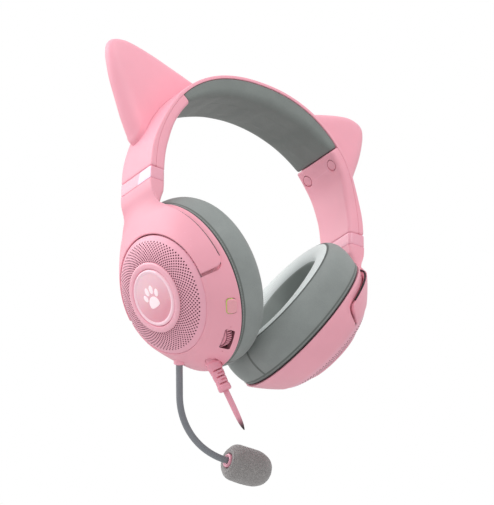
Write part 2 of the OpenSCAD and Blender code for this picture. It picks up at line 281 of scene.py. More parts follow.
def rotz(p, deg):
    a = math.radians(deg)
    p = np.array(p, float).reshape(-1, 3)
    return np.stack([p[:, 0] * math.cos(a) - p[:, 1] * math.sin(a), p[:, 0] * math.sin(a) + p[:, 1] * math.cos(a), p[:, 2]], 1)


def vcoords(me):
    co = np.zeros(len(me.vertices) * 3, np.float32)
    me.vertices.foreach_get("co", co)
    return co.reshape(-1, 3).astype(float)


def set_coords(me, co):
    me.vertices.foreach_set("co", np.asarray(co, np.float32).ravel())
    me.update()


def edges_of(me):
    e = np.zeros(len(me.edges) * 2, np.int32)
    me.edges.foreach_get("vertices", e)
    return e.reshape(-1, 2)


def relax(me, it, w=None, lam=0.5, mu=0.0):
    """Laplacian smoothing with a weight per vertex; mu gives the Taubin back step."""
    co = vcoords(me)
    e = edges_of(me)
    deg = np.bincount(e.ravel(), minlength=len(co)).astype(float)
    deg[deg == 0] = 1
    w = np.ones(len(co)) if w is None else w

    def step(co, k):
        s = np.zeros_like(co)
        for a in range(3):
            s[:, a] = np.bincount(e[:, 0], co[e[:, 1], a], len(co)) + np.bincount(e[:, 1], co[e[:, 0], a], len(co))
        return co + (k * w)[:, None] * (s / deg[:, None] - co)

    for _ in range(it):
        co = step(co, lam)
        if mu:
            co = step(co, -mu)
    set_coords(me, co)


# ------------------------------------------------------------------ materials
class N:
    """A small node-tree helper."""

    def __init__(self, name):
        self.mat = bpy.data.materials.new(name)
        self.mat.use_nodes = True
        self.t = self.mat.node_tree
        self.t.nodes.clear()
        self.out = self.t.nodes.new("ShaderNodeOutputMaterial")
        self.p = self.t.nodes.new("ShaderNodeBsdfPrincipled")
        self.t.links.new(self.p.outputs[0], self.out.inputs[0])
        self.tc = self.t.nodes.new("ShaderNodeTexCoord")

    def new(self, kind, **kw):
        n = self.t.nodes.new(kind)
        for k, v in kw.items():
            if k.startswith("i_"):
                key = k[2:].replace("_", " ")
                n.inputs[key].default_value = v
            else:
                setattr(n, k, v)
        return n

    def link(self, a, b):
        self.t.links.new(a, b)

    def noise(self, scale, detail=3, rough=0.5, dist=0.0):
        n = self.new("ShaderNodeTexNoise")
        n.inputs["Scale"].default_value = scale
        n.inputs["Detail"].default_value = detail
        n.inputs["Roughness"].default_value = rough
        n.inputs["Distortion"].default_value = dist
        self.link(self.tc.outputs["Object"], n.inputs["Vector"])
        return n.outputs["Fac"]

    def voronoi(self, scale, feature="F1", rnd=1.0):
        n = self.new("ShaderNodeTexVoronoi")
        n.feature = feature
        n.inputs["Scale"].default_value = scale
        if "Randomness" in n.inputs:
            n.inputs["Randomness"].default_value = rnd
        self.link(self.tc.outputs["Object"], n.inputs["Vector"])
        return n.outputs["Distance"]

    def math(self, op, a, b=None, clamp=False):
        n = self.new("ShaderNodeMath", operation=op, use_clamp=clamp)
        for i, x in enumerate((a, b)):
            if x is None:
                continue
            if isinstance(x, (int, float)):
                n.inputs[i].default_value = x
            else:
                self.link(x, n.inputs[i])
        return n.outputs[0]

    def range(self, v, a, b, c, d, smooth=False):
        n = self.new("ShaderNodeMapRange")
        if smooth:
            n.interpolation_type = "SMOOTHSTEP"
        self.link(v, n.inputs["Value"])
        for k, x in zip(("From Min", "From Max", "To Min", "To Max"), (a, b, c, d)):
            n.inputs[k].default_value = x
        return n.outputs["Result"]

    def mix(self, fac, a, b, blend="MIX"):
        n = self.new("ShaderNodeMix", data_type="RGBA", blend_type=blend)
        for sock, x in ((n.inputs[0], fac), (n.inputs[6], a), (n.inputs[7], b)):
            if isinstance(x, (int, float)):
                sock.default_value = x
            elif isinstance(x, tuple):
                sock.default_value = x if len(x) == 4 else (*x, 1)
            else:
                self.link(x, sock)
        return n.outputs[2]

    def bump(self, h, strength, dist, bevel=0.0):
        n = self.new("ShaderNodeBump")
        n.inputs["Strength"].default_value = strength
        n.inputs["Distance"].default_value = dist
        self.link(h, n.inputs["Height"])
        if bevel:
            b = self.new("ShaderNodeBevel")
            b.samples = 4
            b.inputs["Radius"].default_value = bevel
            self.link(b.outputs[0], n.inputs["Normal"])
        return n.outputs[0]

    def set(self, **kw):
        names = {"color": "Base Color", "rough": "Roughness", "metal": "Metallic", "normal": "Normal", "coat": "Coat Weight",
                 "coat_rough": "Coat Roughness", "sheen": "Sheen Weight", "sheen_rough": "Sheen Roughness", "spec": "Specular IOR Level",
                 "ior": "IOR", "trans": "Transmission Weight", "sss": "Subsurface Weight", "sss_scale": "Subsurface Scale",
                 "emit": "Emission Color", "emit_s": "Emission Strength", "aniso": "Anisotropic", "sheen_tint": "Sheen Tint"}
        for k, x in kw.items():
            s = self.p.inputs[names[k]]
            if isinstance(x, (int, float)):
                s.default_value = x
            elif isinstance(x, tuple):
                s.default_value = x if len(x) == 4 else (*x, 1)
            else:
                self.link(x, s)
        return self

    def position(self, axis):
        """Object position along an axis vector, in metres."""
        n = self.new("ShaderNodeVectorMath", operation="DOT_PRODUCT")
        self.link(self.tc.outputs["Object"], n.inputs[0])
        n.inputs[1].default_value = axis
        return n.outputs["Value"]


def lin(r, g, b):
    f = lambda c: (c / 255 / 12.92) if c / 255 <= 0.04045 else ((c / 255 + 0.055) / 1.055) ** 2.4
    return (f(r), f(g), f(b))


def plastic(name, rgb, rough=0.38, grain=1.0, coat=0.0, bevel=0.00028, sss=0.05, spec=0.4, vary=0.05):
    n = N(name)
    base = lin(*rgb)
    dark = tuple(c * (1 - vary) for c in base)
    blotch = n.noise(28, 3, 0.55)
    col = n.mix(n.range(blotch, 0.3, 0.7, 0, 1, True), dark, base)
    # convex edges are painted lighter (painted highlight) and concave creases darker (painted shade), both by the
    # mesh's pointiness
    geo = n.new("ShaderNodeNewGeometry")
    edge = n.range(geo.outputs["Pointiness"], 0.515, 0.60, 0, 0.35, True)
    edge_highlight = tuple(min(1, c * 1.12 + 0.03) for c in base)
    col = n.mix(edge, col, edge_highlight)
    crease_shade = n.range(geo.outputs["Pointiness"], 0.40, 0.485, 0.35, 0, True)
    col = n.mix(crease_shade, col, tuple(c * 0.72 for c in base))
    fine = n.noise(2600, 2, 0.6)
    mid = n.noise(420, 3, 0.5)
    r = n.math("ADD", n.range(mid, 0.3, 0.7, rough - 0.035, rough + 0.035), n.range(fine, 0.3, 0.7, -0.02, 0.02))
    h = n.math("ADD", n.math("MULTIPLY", fine, 0.7), n.math("MULTIPLY", mid, 0.3))
    n.set(color=col, rough=r, normal=n.bump(h, 0.16 * grain, 0.00006, bevel), coat=coat, coat_rough=0.06, spec=spec, sss=sss, sss_scale=0.002)
    n.p.inputs["Subsurface Radius"].default_value = (1.0, 0.45, 0.4)
    return n.mat


PINK = (253, 177, 193)
M = {}
M["pink"] = plastic("pink_plastic", PINK, 0.40)
# a darker copy of the pink: painted shade, used on the volume marks
M["pink_in"] = plastic("pink_plastic_shaded", (225, 140, 158), 0.5)
def gloss_mat():
    n = N("gloss_pink")
    f = n.noise(900, 2)
    # a slanted border between the pink and a pale lavender patch, a painted reflection of the softbox on the collar
    pos = n.position((0.0, 1.0, -0.35))
    edge = n.range(pos, 0.0268, 0.0282, 0, 1, True)
    pink = n.mix(n.range(f, 0.3, 0.7, 0, 1), lin(248, 178, 196), lin(253, 184, 200))
    n.set(color=n.mix(edge, pink, lin(244, 226, 246)), rough=n.range(f, 0.3, 0.7, 0.22, 0.28), coat=0.3, coat_rough=0.12, spec=0.5,
          normal=n.bump(f, 0.05, 0.00003, 0.0002))
    return n.mat


M["gloss"] = gloss_mat()
M["gloss_plain"] = plastic("gloss_pink_plain", (250, 178, 196), 0.25, 0.3, coat=0.3, bevel=0.0002)
M["ring"] = plastic("satin_pink_ring", (255, 188, 204), 0.26, 0.5, coat=0.25, bevel=0.0)


def leather(name, rgb, scale=1.0):
    n = N(name)
    base = lin(*rgb)
    cells = n.voronoi(1500 * scale, "DISTANCE_TO_EDGE")
    cells2 = n.voronoi(620 * scale, "DISTANCE_TO_EDGE")
    wr = n.noise(60, 4, 0.6, 0.4)
    fine = n.noise(3200, 2)
    pit = n.range(cells, 0.0, 0.22, 0, 1, True)
    fold = n.range(cells2, 0.0, 0.10, 0, 1, True)
    h = n.math("ADD", n.math("MULTIPLY", pit, 0.55), n.math("ADD", n.math("MULTIPLY", fold, 0.25), n.math("MULTIPLY", fine, 0.12)))
    col = n.mix(n.range(wr, 0.3, 0.75, 0, 1, True), tuple(c * 0.93 for c in base), tuple(min(1, c * 1.05) for c in base))
    col = n.mix(n.range(pit, 0, 1, 0.22, 0), col, tuple(c * 0.72 for c in base))
    # concave creases and seams are painted darker: painted shade
    geo = n.new("ShaderNodeNewGeometry")
    col = n.mix(n.range(geo.outputs["Pointiness"], 0.38, 0.49, 0.75, 0, True), col, tuple(c * 0.35 for c in base))
    r = n.range(n.math("ADD", pit, n.math("MULTIPLY", wr, 0.5)), 0.2, 1.4, 0.66, 0.5)
    b1 = n.bump(h, 0.30, 0.00010)
    b2 = n.new("ShaderNodeBump")
    b2.inputs["Strength"].default_value = 0.25
    b2.inputs["Distance"].default_value = 0.0006
    n.link(wr, b2.inputs["Height"])
    n.link(b1, b2.inputs["Normal"])
    n.set(color=col, rough=r, normal=b2.outputs[0], spec=0.42, sheen=0.12, sheen_rough=0.5)
    return n.mat


M["leather"] = leather("leatherette", (146, 152, 150))
M["pad"] = leather("leatherette_pad", (128, 134, 131))


def cloth(name, rgb, dark, pitch=0.0007, sheen=0.35):
    """A woven mesh: two crossed wave patterns in the object's own space, so no UVs are needed."""
    n = N(name)
    mp = n.new("ShaderNodeMapping")
    mp.inputs["Rotation"].default_value = (0.0, 0.0, 0.0)
    n.link(n.tc.outputs["Object"], mp.inputs["Vector"])
    ax = ((0.0, 1.0, 0.0), (ST, 0.0, CT))
    waves = []
    for a in ax:
        d = n.new("ShaderNodeVectorMath", operation="DOT_PRODUCT")
        n.link(mp.outputs[0], d.inputs[0])
        d.inputs[1].default_value = tuple(c * 2 * math.pi / pitch for c in a)
        waves.append(n.math("SINE", d.outputs["Value"]))
    prod = n.math("MULTIPLY", waves[0], waves[1])
    h = n.range(prod, -1, 1, 0, 1)
    fuzz = n.noise(5200, 2)
    hh = n.math("ADD", n.math("MULTIPLY", h, 0.8), n.math("MULTIPLY", fuzz, 0.35))
    big = n.noise(55, 3)
    col = n.mix(n.range(hh, 0.25, 0.8, 0, 1, True), lin(*dark), lin(*rgb))
    col = n.mix(n.range(big, 0.3, 0.7, 0.12, 0.0), col, lin(*dark))
    n.set(color=col, rough=0.85, normal=n.bump(hh, 0.5, 0.00022), sheen=sheen, sheen_rough=0.4, spec=0.25)
    return n.mat


M["fabric"] = cloth("fabric_face", (240, 246, 245), (200, 207, 206))
M["scrim"] = cloth("scrim_cloth", (122, 126, 125), (74, 78, 77), 0.0009, 0.1)


def metal(name, rgb, rough=0.3):
    n = N(name)
    base = lin(*rgb)
    mp = n.new("ShaderNodeMapping")
    mp.inputs["Scale"].default_value = (900, 90, 900)
    n.link(n.tc.outputs["Object"], mp.inputs["Vector"])
    br = n.new("ShaderNodeTexNoise")
    br.inputs["Scale"].default_value = 1.0
    br.inputs["Detail"].default_value = 3
    n.link(mp.outputs[0], br.inputs["Vector"])
    b = br.outputs["Fac"]
    col = n.mix(n.range(b, 0.3, 0.7, 0, 1), tuple(c * 0.85 for c in base), base)
    n.set(color=col, metal=1.0, rough=n.range(b, 0.3, 0.7, rough - 0.07, rough + 0.08), normal=n.bump(b, 0.2, 0.00005, 0.0001), aniso=0.4)
    return n.mat


M["steel"] = metal("steel", (196, 198, 202))


def board(name):
    n = N(name)
    v = n.voronoi(420, "DISTANCE_TO_EDGE", 0.25)
    trace = n.range(v, 0.02, 0.06, 1, 0, True)
    pads = n.range(n.voronoi(650, "F1", 0.1), 0.16, 0.2, 1, 0, True)
    col = n.mix(trace, lin(20, 84, 58), lin(38, 128, 84))
    col = n.mix(pads, col, lin(214, 186, 120))
    n.set(color=col, rough=n.range(pads, 0, 1, 0.35, 0.25), metal=n.math("MULTIPLY", pads, 0.9), normal=n.bump(n.math("ADD", trace, pads), 0.3, 0.00005, 0.0001), coat=0.3)
    return n.mat


M["board"] = board("circuit_board")
M["dark"] = plastic("dark_plastic", (58, 58, 62), 0.5, 1.4, sss=0.0)
M["cable"] = plastic("cable_rubber", (244, 166, 184), 0.46, 0.8, sss=0.08)


def boom_mat():
    n = N("boom_rubber")
    base = lin(138, 141, 147)
    fine = n.noise(2200, 3, 0.6)
    big = n.noise(90, 3)
    col = n.mix(n.range(big, 0.3, 0.7, 0, 1), tuple(c * 0.9 for c in base), base)
    n.set(color=col, rough=n.range(fine, 0.3, 0.7, 0.48, 0.6), normal=n.bump(fine, 0.35, 0.0001), sheen=0.15, spec=0.4)
    return n.mat


M["boom"] = boom_mat()


def foam_mat():
    n = N("foam")
    base = lin(152, 148, 147)
    cells = n.voronoi(1350, "DISTANCE_TO_EDGE", 1.0)
    c2 = n.voronoi(2600, "F1", 1.0)
    wall = n.range(cells, 0.0, 0.32, 1, 0, True)
    h = n.math("ADD", n.math("MULTIPLY", wall, 0.7), n.math("MULTIPLY", n.range(c2, 0, 0.6, 0, 1), 0.4))
    col = n.mix(wall, tuple(c * 0.62 for c in base), tuple(min(1, c * 1.1) for c in base))
    big = n.noise(130, 4)
    col = n.mix(n.range(big, 0.35, 0.7, 0.0, 0.14), col, lin(185, 181, 179))
    n.set(color=col, rough=0.95, normal=n.bump(h, 0.55, 0.0003), sheen=0.5, sheen_rough=0.6, spec=0.15)
    return n.mat


M["foam"] = foam_mat()


def lens_mat():
    n = N("medallion_lens")
    # the pink is lighter at the top of the lens and deeper towards its foot
    p = n.position((ST, 0.0, CT))
    c = float(CUP([[0, 0, 0]])[0] @ np.array([ST, 0.0, CT]))
    g = n.range(p, c - 0.016, c + 0.016, 0, 1, True)
    col = n.mix(g, lin(236, 150, 168), lin(255, 205, 216))
    swirl = n.noise(70, 3, 0.5, 0.8)
    col = n.mix(n.range(swirl, 0.35, 0.7, 0.0, 0.15), col, lin(255, 222, 230))
    n.set(color=col, rough=0.12, coat=1.0, coat_rough=0.03, spec=0.6, sss=0.3, sss_scale=0.004, emit=lin(255, 190, 204), emit_s=0.06,
          normal=n.bump(n.noise(2400, 2), 0.02, 0.00003))
    return n.mat


M["lens"] = lens_mat()


def glow(name, rgb, s):
    n = N(name)
    f = n.noise(900, 2)
    col = n.mix(n.range(f, 0.3, 0.7, 0, 1), tuple(c * 0.95 for c in lin(*rgb)), lin(*rgb))
    n.set(color=col, rough=0.25, emit=col, emit_s=s, coat=0.5, normal=n.bump(f, 0.05, 0.00003))
    return n.mat


# a lighter, faintly glowing pink for the lens's raised rim: a painted highlight
M["lens_rim_painted_highlight"] = glow("lens_rim_painted_highlight", (255, 214, 226), 0.10)
M["emblem"] = glow("emblem_inlay", (255, 232, 238), 0.22)
M["indicator"] = glow("indicator_light", (190, 214, 96), 0.25)


def window_mat():
    n = N("ear_window")
    f = n.noise(60, 3)
    col = n.mix(n.range(f, 0.3, 0.7, 0, 1), lin(255, 226, 232), lin(255, 240, 244))
    n.set(color=col, rough=0.3, sss=0.5, sss_scale=0.004, coat=0.6, coat_rough=0.1, emit=lin(255, 225, 232), emit_s=0.10,
          normal=n.bump(n.voronoi(900, "F1"), 0.08, 0.00008, 0.0002))
    return n.mat


M["window"] = window_mat()


# a near-black material for dark strips and sheets that stand in for shade
def dark_void():
    n = N("painted_shadow_dark")
    f = n.noise(1500, 2)
    n.set(color=n.mix(f, lin(24, 20, 22), lin(40, 32, 35)), rough=0.8, normal=n.bump(f, 0.2, 0.00005))
    return n.mat


M["void"] = dark_void()

CAD_MATS = {
    "steel": ["headband_spring", "inner_cover_screws", "slider_tongue_left", "slider_tongue_right", "yoke_screws_left", "yoke_screws_right",
              "pivot_pins_left", "pivot_pins_right", "baffle_screws_left", "baffle_screws_right"],
    "board": ["ear_light_board_left", "ear_light_board_right", "light_board_left", "light_board_right", "control_board"],
    "dark": ["crossover_cable", "driver_left", "driver_right", "baffle_left", "baffle_right", "mic_capsule"],
    "pink": ["mic_socket"],
}
for key, names in CAD_MATS.items():
    for nm in names:
        me = NODES[nm].data
        for i in range(len(me.materials)):
            me.materials[i] = M[key]
        if not me.materials:
            me.materials.append(M[key])

SIDES = ((1, "left"), (-1, "right"))


# ------------------------------------------------------------------ headband
def bw(z):
    t = np.clip((np.asarray(z, float) - 142) / 33.0, 0, 1)
    t = t * t * (3 - 2 * t)
    return 31.4 + 5.4 * t


def band_ring(t, outline):
    """outline: (y, o) points at angle t of the band."""
    o = outline[:, 1]
    return W(np.stack([bx(t, o), outline[:, 0], bz(t, o)], 1))


def angles_mm(t0, t1, step):
    """Angles spaced by about step mm along the band."""
    tt = np.linspace(t0, t1, 2001)
    s = np.concatenate([[0], np.cumsum(np.hypot(np.diff(bx(tt, 2)), np.diff(bz(tt, 2))))])
    n = max(4, int(round(s[-1] / step)))
    return np.interp(np.linspace(0, s[-1], n + 1), s, tt), s[-1]


def arm_bulge(t):
    """The arm swells outwards from the ear's foot down to the slider."""
    x = np.clip((abs(t) - 64.0) / 20.0, 0, 1)
    return float(1.5 * x * x * (3 - 2 * x))


def make_cover():
    rings = []
    tt, L = angles_mm(-88, 88, 2.2)
    per = 176.0 / L
    ends = [(-88, 0.7), (-88 + 0.25 * per, 0.25), (-88 + 0.7 * per, 0.0)]
    st = ends + [(t, 0.0) for t in tt[1:-1]] + [(-t, i) for t, i in reversed(ends)]
    for t, ins in st:
        hw = float(bw(bz(t, 0))) / 2 - ins
        o0, o1 = ins * 0.8 - arm_bulge(t), 2.2 - ins * 0.8
        crown = 0.22
        pts = [(-hw, o0 + crown), (-hw * 0.55, o0), (hw * 0.55, o0), (hw, o0 + crown), (hw, o1), (-hw, o1)]
        rings.append(band_ring(t, rpoly(pts, [0.75, 40, 40, 0.75, 0.3, 0.3], 5)))
    v, f = loft(rings)
    return build("headband_cover_shell", v, f, M["pink"], "headband", ["headband_cover"], 40)


make_cover()


def chord_cut(s, z0=98.0, z1=160.0):
    """The slot the slider tongue runs in."""
    c, sn = math.cos(math.radians(8.53)), math.sin(math.radians(8.53))
    v, f = box_pts(-0.95, 0.95, -10.2, 10.2, -14, 45.6)
    x = 71.3 - 0.15 * (112 - ZC) + v[:, 0] * c - v[:, 2] * sn
    z = 112 + v[:, 0] * sn + v[:, 2] * c
    return W(np.stack([x, v[:, 1], z], 1), s), f


def screw_frame(y, s):
    """Origin and axes of a cap on the inner cover; the first axis points out of the cover."""
    a = math.radians(47.5 + 180)
    p = np.array([bx(54, 8.0), y, bz(54, 8.0)])
    zax = np.array([math.sin(a), 0, math.cos(a)])
    xax = np.array([math.cos(a), 0, -math.sin(a)])
    return p, xax, np.array([0, 1.0, 0]), zax


def at_screw(v, y, s):
    p, xa, ya, za = screw_frame(y, s)
    v = np.asarray(v, float)
    return W(p + v[:, :1] * xa + v[:, 1:2] * ya + v[:, 2:3] * za, s)


def arm_outline(hw, o0, o1, ro=0.3, ri=4.6, n=8):
    return rpoly([(-hw, o0), (hw, o0), (hw, o1), (-hw, o1)], [ro, ro, ri, ri], n)


def make_inner(s, side):
    rings = []
    tt, L = angles_mm(47.9, 88, 1.6)
    per = 40.1 / L
    ends = [(0, 0.75), (0.12, 0.42), (0.35, 0.16), (0.7, 0.0)]
    st = [(47.9 + d * per, i) for d, i in ends] + [(t, 0.0) for t in tt[1:-1]] + [(88 - d * per, i * 0.5) for d, i in reversed(ends)]
    for t, ins in st:
        hw = float(bw(bz(t, 0))) / 2 - 0.05 - ins
        # the section is squarer at the pad end and rounder towards the slider
        k = np.clip((t - 48) / 20.0, 0, 1)
        ri = 2.2 + 0.7 * k
        q = np.clip((t - 60) / 14.0, 0, 1)
        r = band_ring(t, arm_outline(hw, 2.28 + ins, 8.0 - ins + 1.1 * q * q * (3 - 2 * q), 0.3, ri))
        r[:, 0] *= s
        rings.append(r)
    v, f = loft(rings)
    ob = build(f"inner_cover_{side}_shell", v, f, None, sharp=0)
    cut = [solid_tmp("c0", *chord_cut(s))]
    for y in (-12.2, 12.2):
        cv, cf = revolve([(0.01, -2.0), (3.35, -2.0), (3.45, -0.25), (3.75, 0.2), (3.9, 3), (0.01, 3)], 40, closed=False)
        cut.append(solid_tmp("c", at_screw(cv, y, s), cf))
    boolean(ob, cut)
    finish_piece(ob, M["pink"], "headband", [f"inner_cover_{side}"], 38)
    for i, y in enumerate((-12.2, 12.2)):
        cv, cf = revolve([(0.01, -0.9), (2.9, -0.9), (3.02, -0.75), (3.05, -0.3), (2.85, -0.1), (1.6, -0.04), (0.01, -0.02)], 48, closed=False)
        cap = build(f"screw_cap_{side}_{i + 1}", at_screw(cv, y, s), cf, M["pink"], "headband", (), 40)
        if s > 0 and i == 0:
            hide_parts("screw_caps")


for s, side in SIDES:
    make_inner(s, side)


# ------------------------------------------------------------------ soft parts: cloth under pressure
def inflate(ob, pin, pressure, cap, frames=20, bend=0.6, ten=12.0):
    """Swells a closed mesh by cloth simulation between its pinned seams, caps the movement, and applies the result."""
    base = vcoords(ob.data)
    vg = ob.vertex_groups.new(name="pin")
    for w in (1.0, 0.6, 0.3):
        idx = [int(i) for i in np.nonzero(np.abs(pin - w) < 1e-6)[0]]
        if idx:
            vg.add(idx, w, "REPLACE")
    m = ob.modifiers.new("Cloth", "CLOTH")
    st = m.settings
    st.quality = 6
    st.mass = 0.25
    st.tension_stiffness = ten
    st.compression_stiffness = ten
    st.shear_stiffness = ten * 0.6
    st.bending_stiffness = bend
    st.air_damping = 2.0
    st.use_pressure = True
    st.uniform_pressure_force = pressure
    st.vertex_group_mass = "pin"
    st.pin_stiffness = 1.0
    st.effector_weights.gravity = 0.0
    m.collision_settings.use_collision = False
    m.collision_settings.use_self_collision = False
    m.point_cache.frame_start = 1
    m.point_cache.frame_end = frames
    for fr in range(1, frames + 1):
        SCN.frame_set(fr)
    dg = bpy.context.evaluated_depsgraph_get()
    ev = ob.evaluated_get(dg)
    now = vcoords(ev.data)
    ob.modifiers.remove(m)
    SCN.frame_set(1)
    if len(now) != len(base) or not np.isfinite(now).all():
        print("cloth: no usable result for", ob.name)
        return
    d = now - base
    ln = np.linalg.norm(d, axis=1)
    k = np.minimum(1.0, cap / np.maximum(ln, 1e-9))
    print("cloth", ob.name, "moved up to", round(float(ln.max()) * 1000, 2), "mm, capped at", cap * 1000)
    set_coords(ob.data, base + d * k[:, None])
    ob.vertex_groups.clear()


def subdivide(ob, levels=1):
    m = ob.modifiers.new("sub", "SUBSURF")
    m.levels = levels
    m.render_levels = levels
    apply_mods(ob)
    ob.data.polygons.foreach_set("use_smooth", [True] * len(ob.data.polygons))


def pad_o(t):
    return 14.1 - 6.1 * (np.abs(t) / 47.0) ** 2.4


def make_pad():
    tt, L = angles_mm(-47.55, 47.55, 2.4)
    per = 95.1 / L
    ends = [(0, 1.5), (0.1, 0.85), (0.4, 0.35), (1.0, 0.08)]
    st = [(-47.55 + d * per, i) for d, i in ends] + [(t, 0) for t in tt[1:-1]] + [(47.55 - d * per, i) for d, i in reversed(ends)]
    rings, pins = [], []
    n = 5
    for t, ins in st:
        a = min(abs(t), 47.0)
        ob_ = pad_o(a) - 0.55 - ins
        hw = float(bw(bz(t, 0))) / 2 - 0.55 - ins * 0.8
        e = np.clip((47.5 - abs(t)) / 12.0, 0, 1)
        r = 2.8 + 3.4 * e
        # underside: a broad soft shoulder on each side of a flatter middle
        pts = [(-hw, 2.32 + ins * 0.4), (-14.4, 2.32 + ins * 0.4), (-14.4, 4.3), (14.4, 4.3), (14.4, 2.32 + ins * 0.4), (hw, 2.32 + ins * 0.4),
               (hw, ob_), (6.5, ob_ + 0.25), (-6.5, ob_ + 0.25), (-hw, ob_)]
        rad = [0.5, 0.2, 0.2, 0.2, 0.2, 0.5, r, 30, 30, r]
        o = rpoly(pts, rad, n)
        rings.append(band_ring(t, o))
        p = np.zeros(len(o))
        p[: 6 * (n + 1)] = 1.0
        if ins > 0.3:
            p[:] = 1.0
        pins.append(p)
    v, f = loft(rings)
    ob = build("headband_pad_cushion", v, f, None, sharp=0)
    pin = np.zeros(len(ob.data.vertices))
    src = np.concatenate(pins + [[1.0], [1.0]])
    co = vcoords(ob.data)
    from mathutils.kdtree import KDTree
    kd = KDTree(len(v))
    for i, p in enumerate(v):
        kd.insert(p, i)
    kd.balance()
    for i, c in enumerate(co):
        pin[i] = src[kd.find(c)[1]]
    inflate(ob, pin, 3.0, 0.0011)
    subdivide(ob)
    finish_piece(ob, M["pad"], "headband", ["headband_pad"], 0)


make_pad()


# ------------------------------------------------------------------ cat ears
EY = -8.3


def ear_outline():
    """The ear's outline in the X-Z plane, closed, from the foot on the arm round the tip to the top of the band."""
    pts = [(60.0, 147.0), (72.8, 151.6), (75.6, 155.8), (80.9, 166.2), (86.0, 179.3), (90.3, 192.0), (92.8, 204.2), (93.0, 210.7), (92.2, 213.7), (90.2, 215.9),
           (86.8, 217.4), (83.4, 218.0), (79.8, 218.0), (72.6, 216.8), (65.5, 215.0), (58.3, 212.9), (51.1, 210.3), (43.9, 207.7), (36.7, 204.8), (30.5, 201.5),
           (27.0, 192.0), (38.0, 184.0), (52.0, 170.0)]
    P = np.array(pts)
    # closed Catmull-Rom, resampled evenly
    out = []
    m = len(P)
    for i in range(m):
        p0, p1, p2, p3 = P[i - 1], P[i], P[(i + 1) % m], P[(i + 2) % m]
        for k in range(12):
            t = k / 12
            out.append(0.5 * ((2 * p1) + (-p0 + p2) * t + (2 * p0 - 5 * p1 + 4 * p2 - p3) * t * t + (-p0 + 3 * p1 - 3 * p2 + p3) * t ** 3))
    out = np.array(out)
    d = np.linalg.norm(np.diff(np.vstack([out, out[:1]]), axis=0), axis=1)
    s = np.concatenate([[0], np.cumsum(d)])
    q = np.linspace(0, s[-1], 161)[:-1]
    o2 = np.vstack([out, out[:1]])
    return np.stack([np.interp(q, s, o2[:, 0]), np.interp(q, s, o2[:, 1])], 1)


def ear_body(inset, s):
    """A pillow between the outline and a middle point: full and round at the band, thinner at the tip."""
    C = ear_outline()
    c = np.array([66.0, 189.0])
    axis = np.array([90.0, 215.0]) - np.array([48.0, 176.0])
    la = np.linalg.norm(axis)
    axis = axis / la
    rho = np.array([0.0, 0.12, 0.25, 0.38, 0.5, 0.6, 0.69, 0.77, 0.83, 0.88, 0.92, 0.95, 0.972, 0.988, 0.997, 1.0])
    rad = np.linalg.norm(C - c, axis=1)
    scale = (rad - inset) / rad

    def H(p):
        t = np.clip(((p - np.array([48.0, 176.0])) @ axis) / la, 0, 1)
        return 7.8 - 3.3 * t ** 1.15

    layers = []
    for sign in (1, -1):
        for i, r in enumerate(rho if sign > 0 else rho[::-1][1:]):
            p = c + (C - c) * (r * scale)[:, None]
            # rim roundness follows the local thickness, so the edge stays a true half round
            dist = (1 - r) * rad * scale
            h = H(p)
            q = np.clip(1 - dist / (h * 1.55), 0, 1)
            y = (h - inset) * np.sqrt(np.clip(1 - q ** 2.3, 0, 1)) * (1.0 if sign > 0 else 0.94)
            layers.append(np.stack([p[:, 0], EY + sign * y, p[:, 1]], 1))
    v, f = loft([W(l, s) for l in layers], cap=False)
    return v, f


def ear_window(s, g, y0, y1):
    P = np.array([[74 - g, 172 + g * 2], [83.5 - g, 198], [84.5 - g, 209 - g], [82 - g, 211.5 - g], [72, 211 - g], [58 + g * 2, 206 - g]])
    r = rpoly(P, [1.6, 12, 1.4, 1.4, 12, 1.6], 6)
    rings = [np.stack([r[:, 0], np.full(len(r), y), r[:, 1]], 1) for y in (y0, y1)]
    v, f = loft(rings)
    return W(v, s), f


def band_block(s):
    """The band's own volume, which the ear's foot is cut back from."""
    tt = np.linspace(-3, 87, 61)
    rings = []
    for t in tt:
        o = np.array([(-40, -0.05), (40, -0.05), (40, 40), (-40, 40)], float)
        r = band_ring(t, o)
        r[:, 0] *= s
        rings.append(r)
    return loft(rings)


def make_ear(s, side):
    v, f = ear_body(0, s)
    ob = build(f"ear_shell_{side}_skin", v, f, None, sharp=0)
    iv, if_ = ear_body(1.7, s)
    cutters = [solid_tmp("ei", iv, if_), solid_tmp("eb", *band_block(s)), solid_tmp("ew", *ear_window(s, 0, -24, -9.4))]
    boolean(ob, cutters)
    finish_piece(ob, M["pink"], "headband", [f"ear_shell_{side}"], 30)
    # the window: a slightly domed translucent panel that fills the opening
    g = 0.16
    P = np.array([[74 - g, 172 + g * 2], [83.5 - g, 198], [84.5 - g, 209 - g], [82 - g, 211.5 - g], [72, 211 - g], [58 + g * 2, 206 - g]])
    r = rpoly(P, [1.6, 12, 1.4, 1.4, 12, 1.6], 6)
    cen = r.mean(0)
    rings = []
    for k, y in ((0.0, -11.0), (0.5, -11.0), (0.985, -11.0), (1.0, -11.15), (1.0, -12.2), (0.985, -12.45), (0.93, -12.62), (0.8, -12.85), (0.55, -13.05), (0.25, -13.15), (0.0, -13.17)):
        q = cen + (r - cen) * max(k, 0.002)
        rings.append(np.stack([q[:, 0], np.full(len(q), y), q[:, 1]], 1))
    v, f = loft(rings)
    build(f"ear_lens_{side}_panel", W(v, s), f, M["window"], "headband", [f"ear_lens_{side}"], 40)


for s, side in SIDES:
    make_ear(s, side)


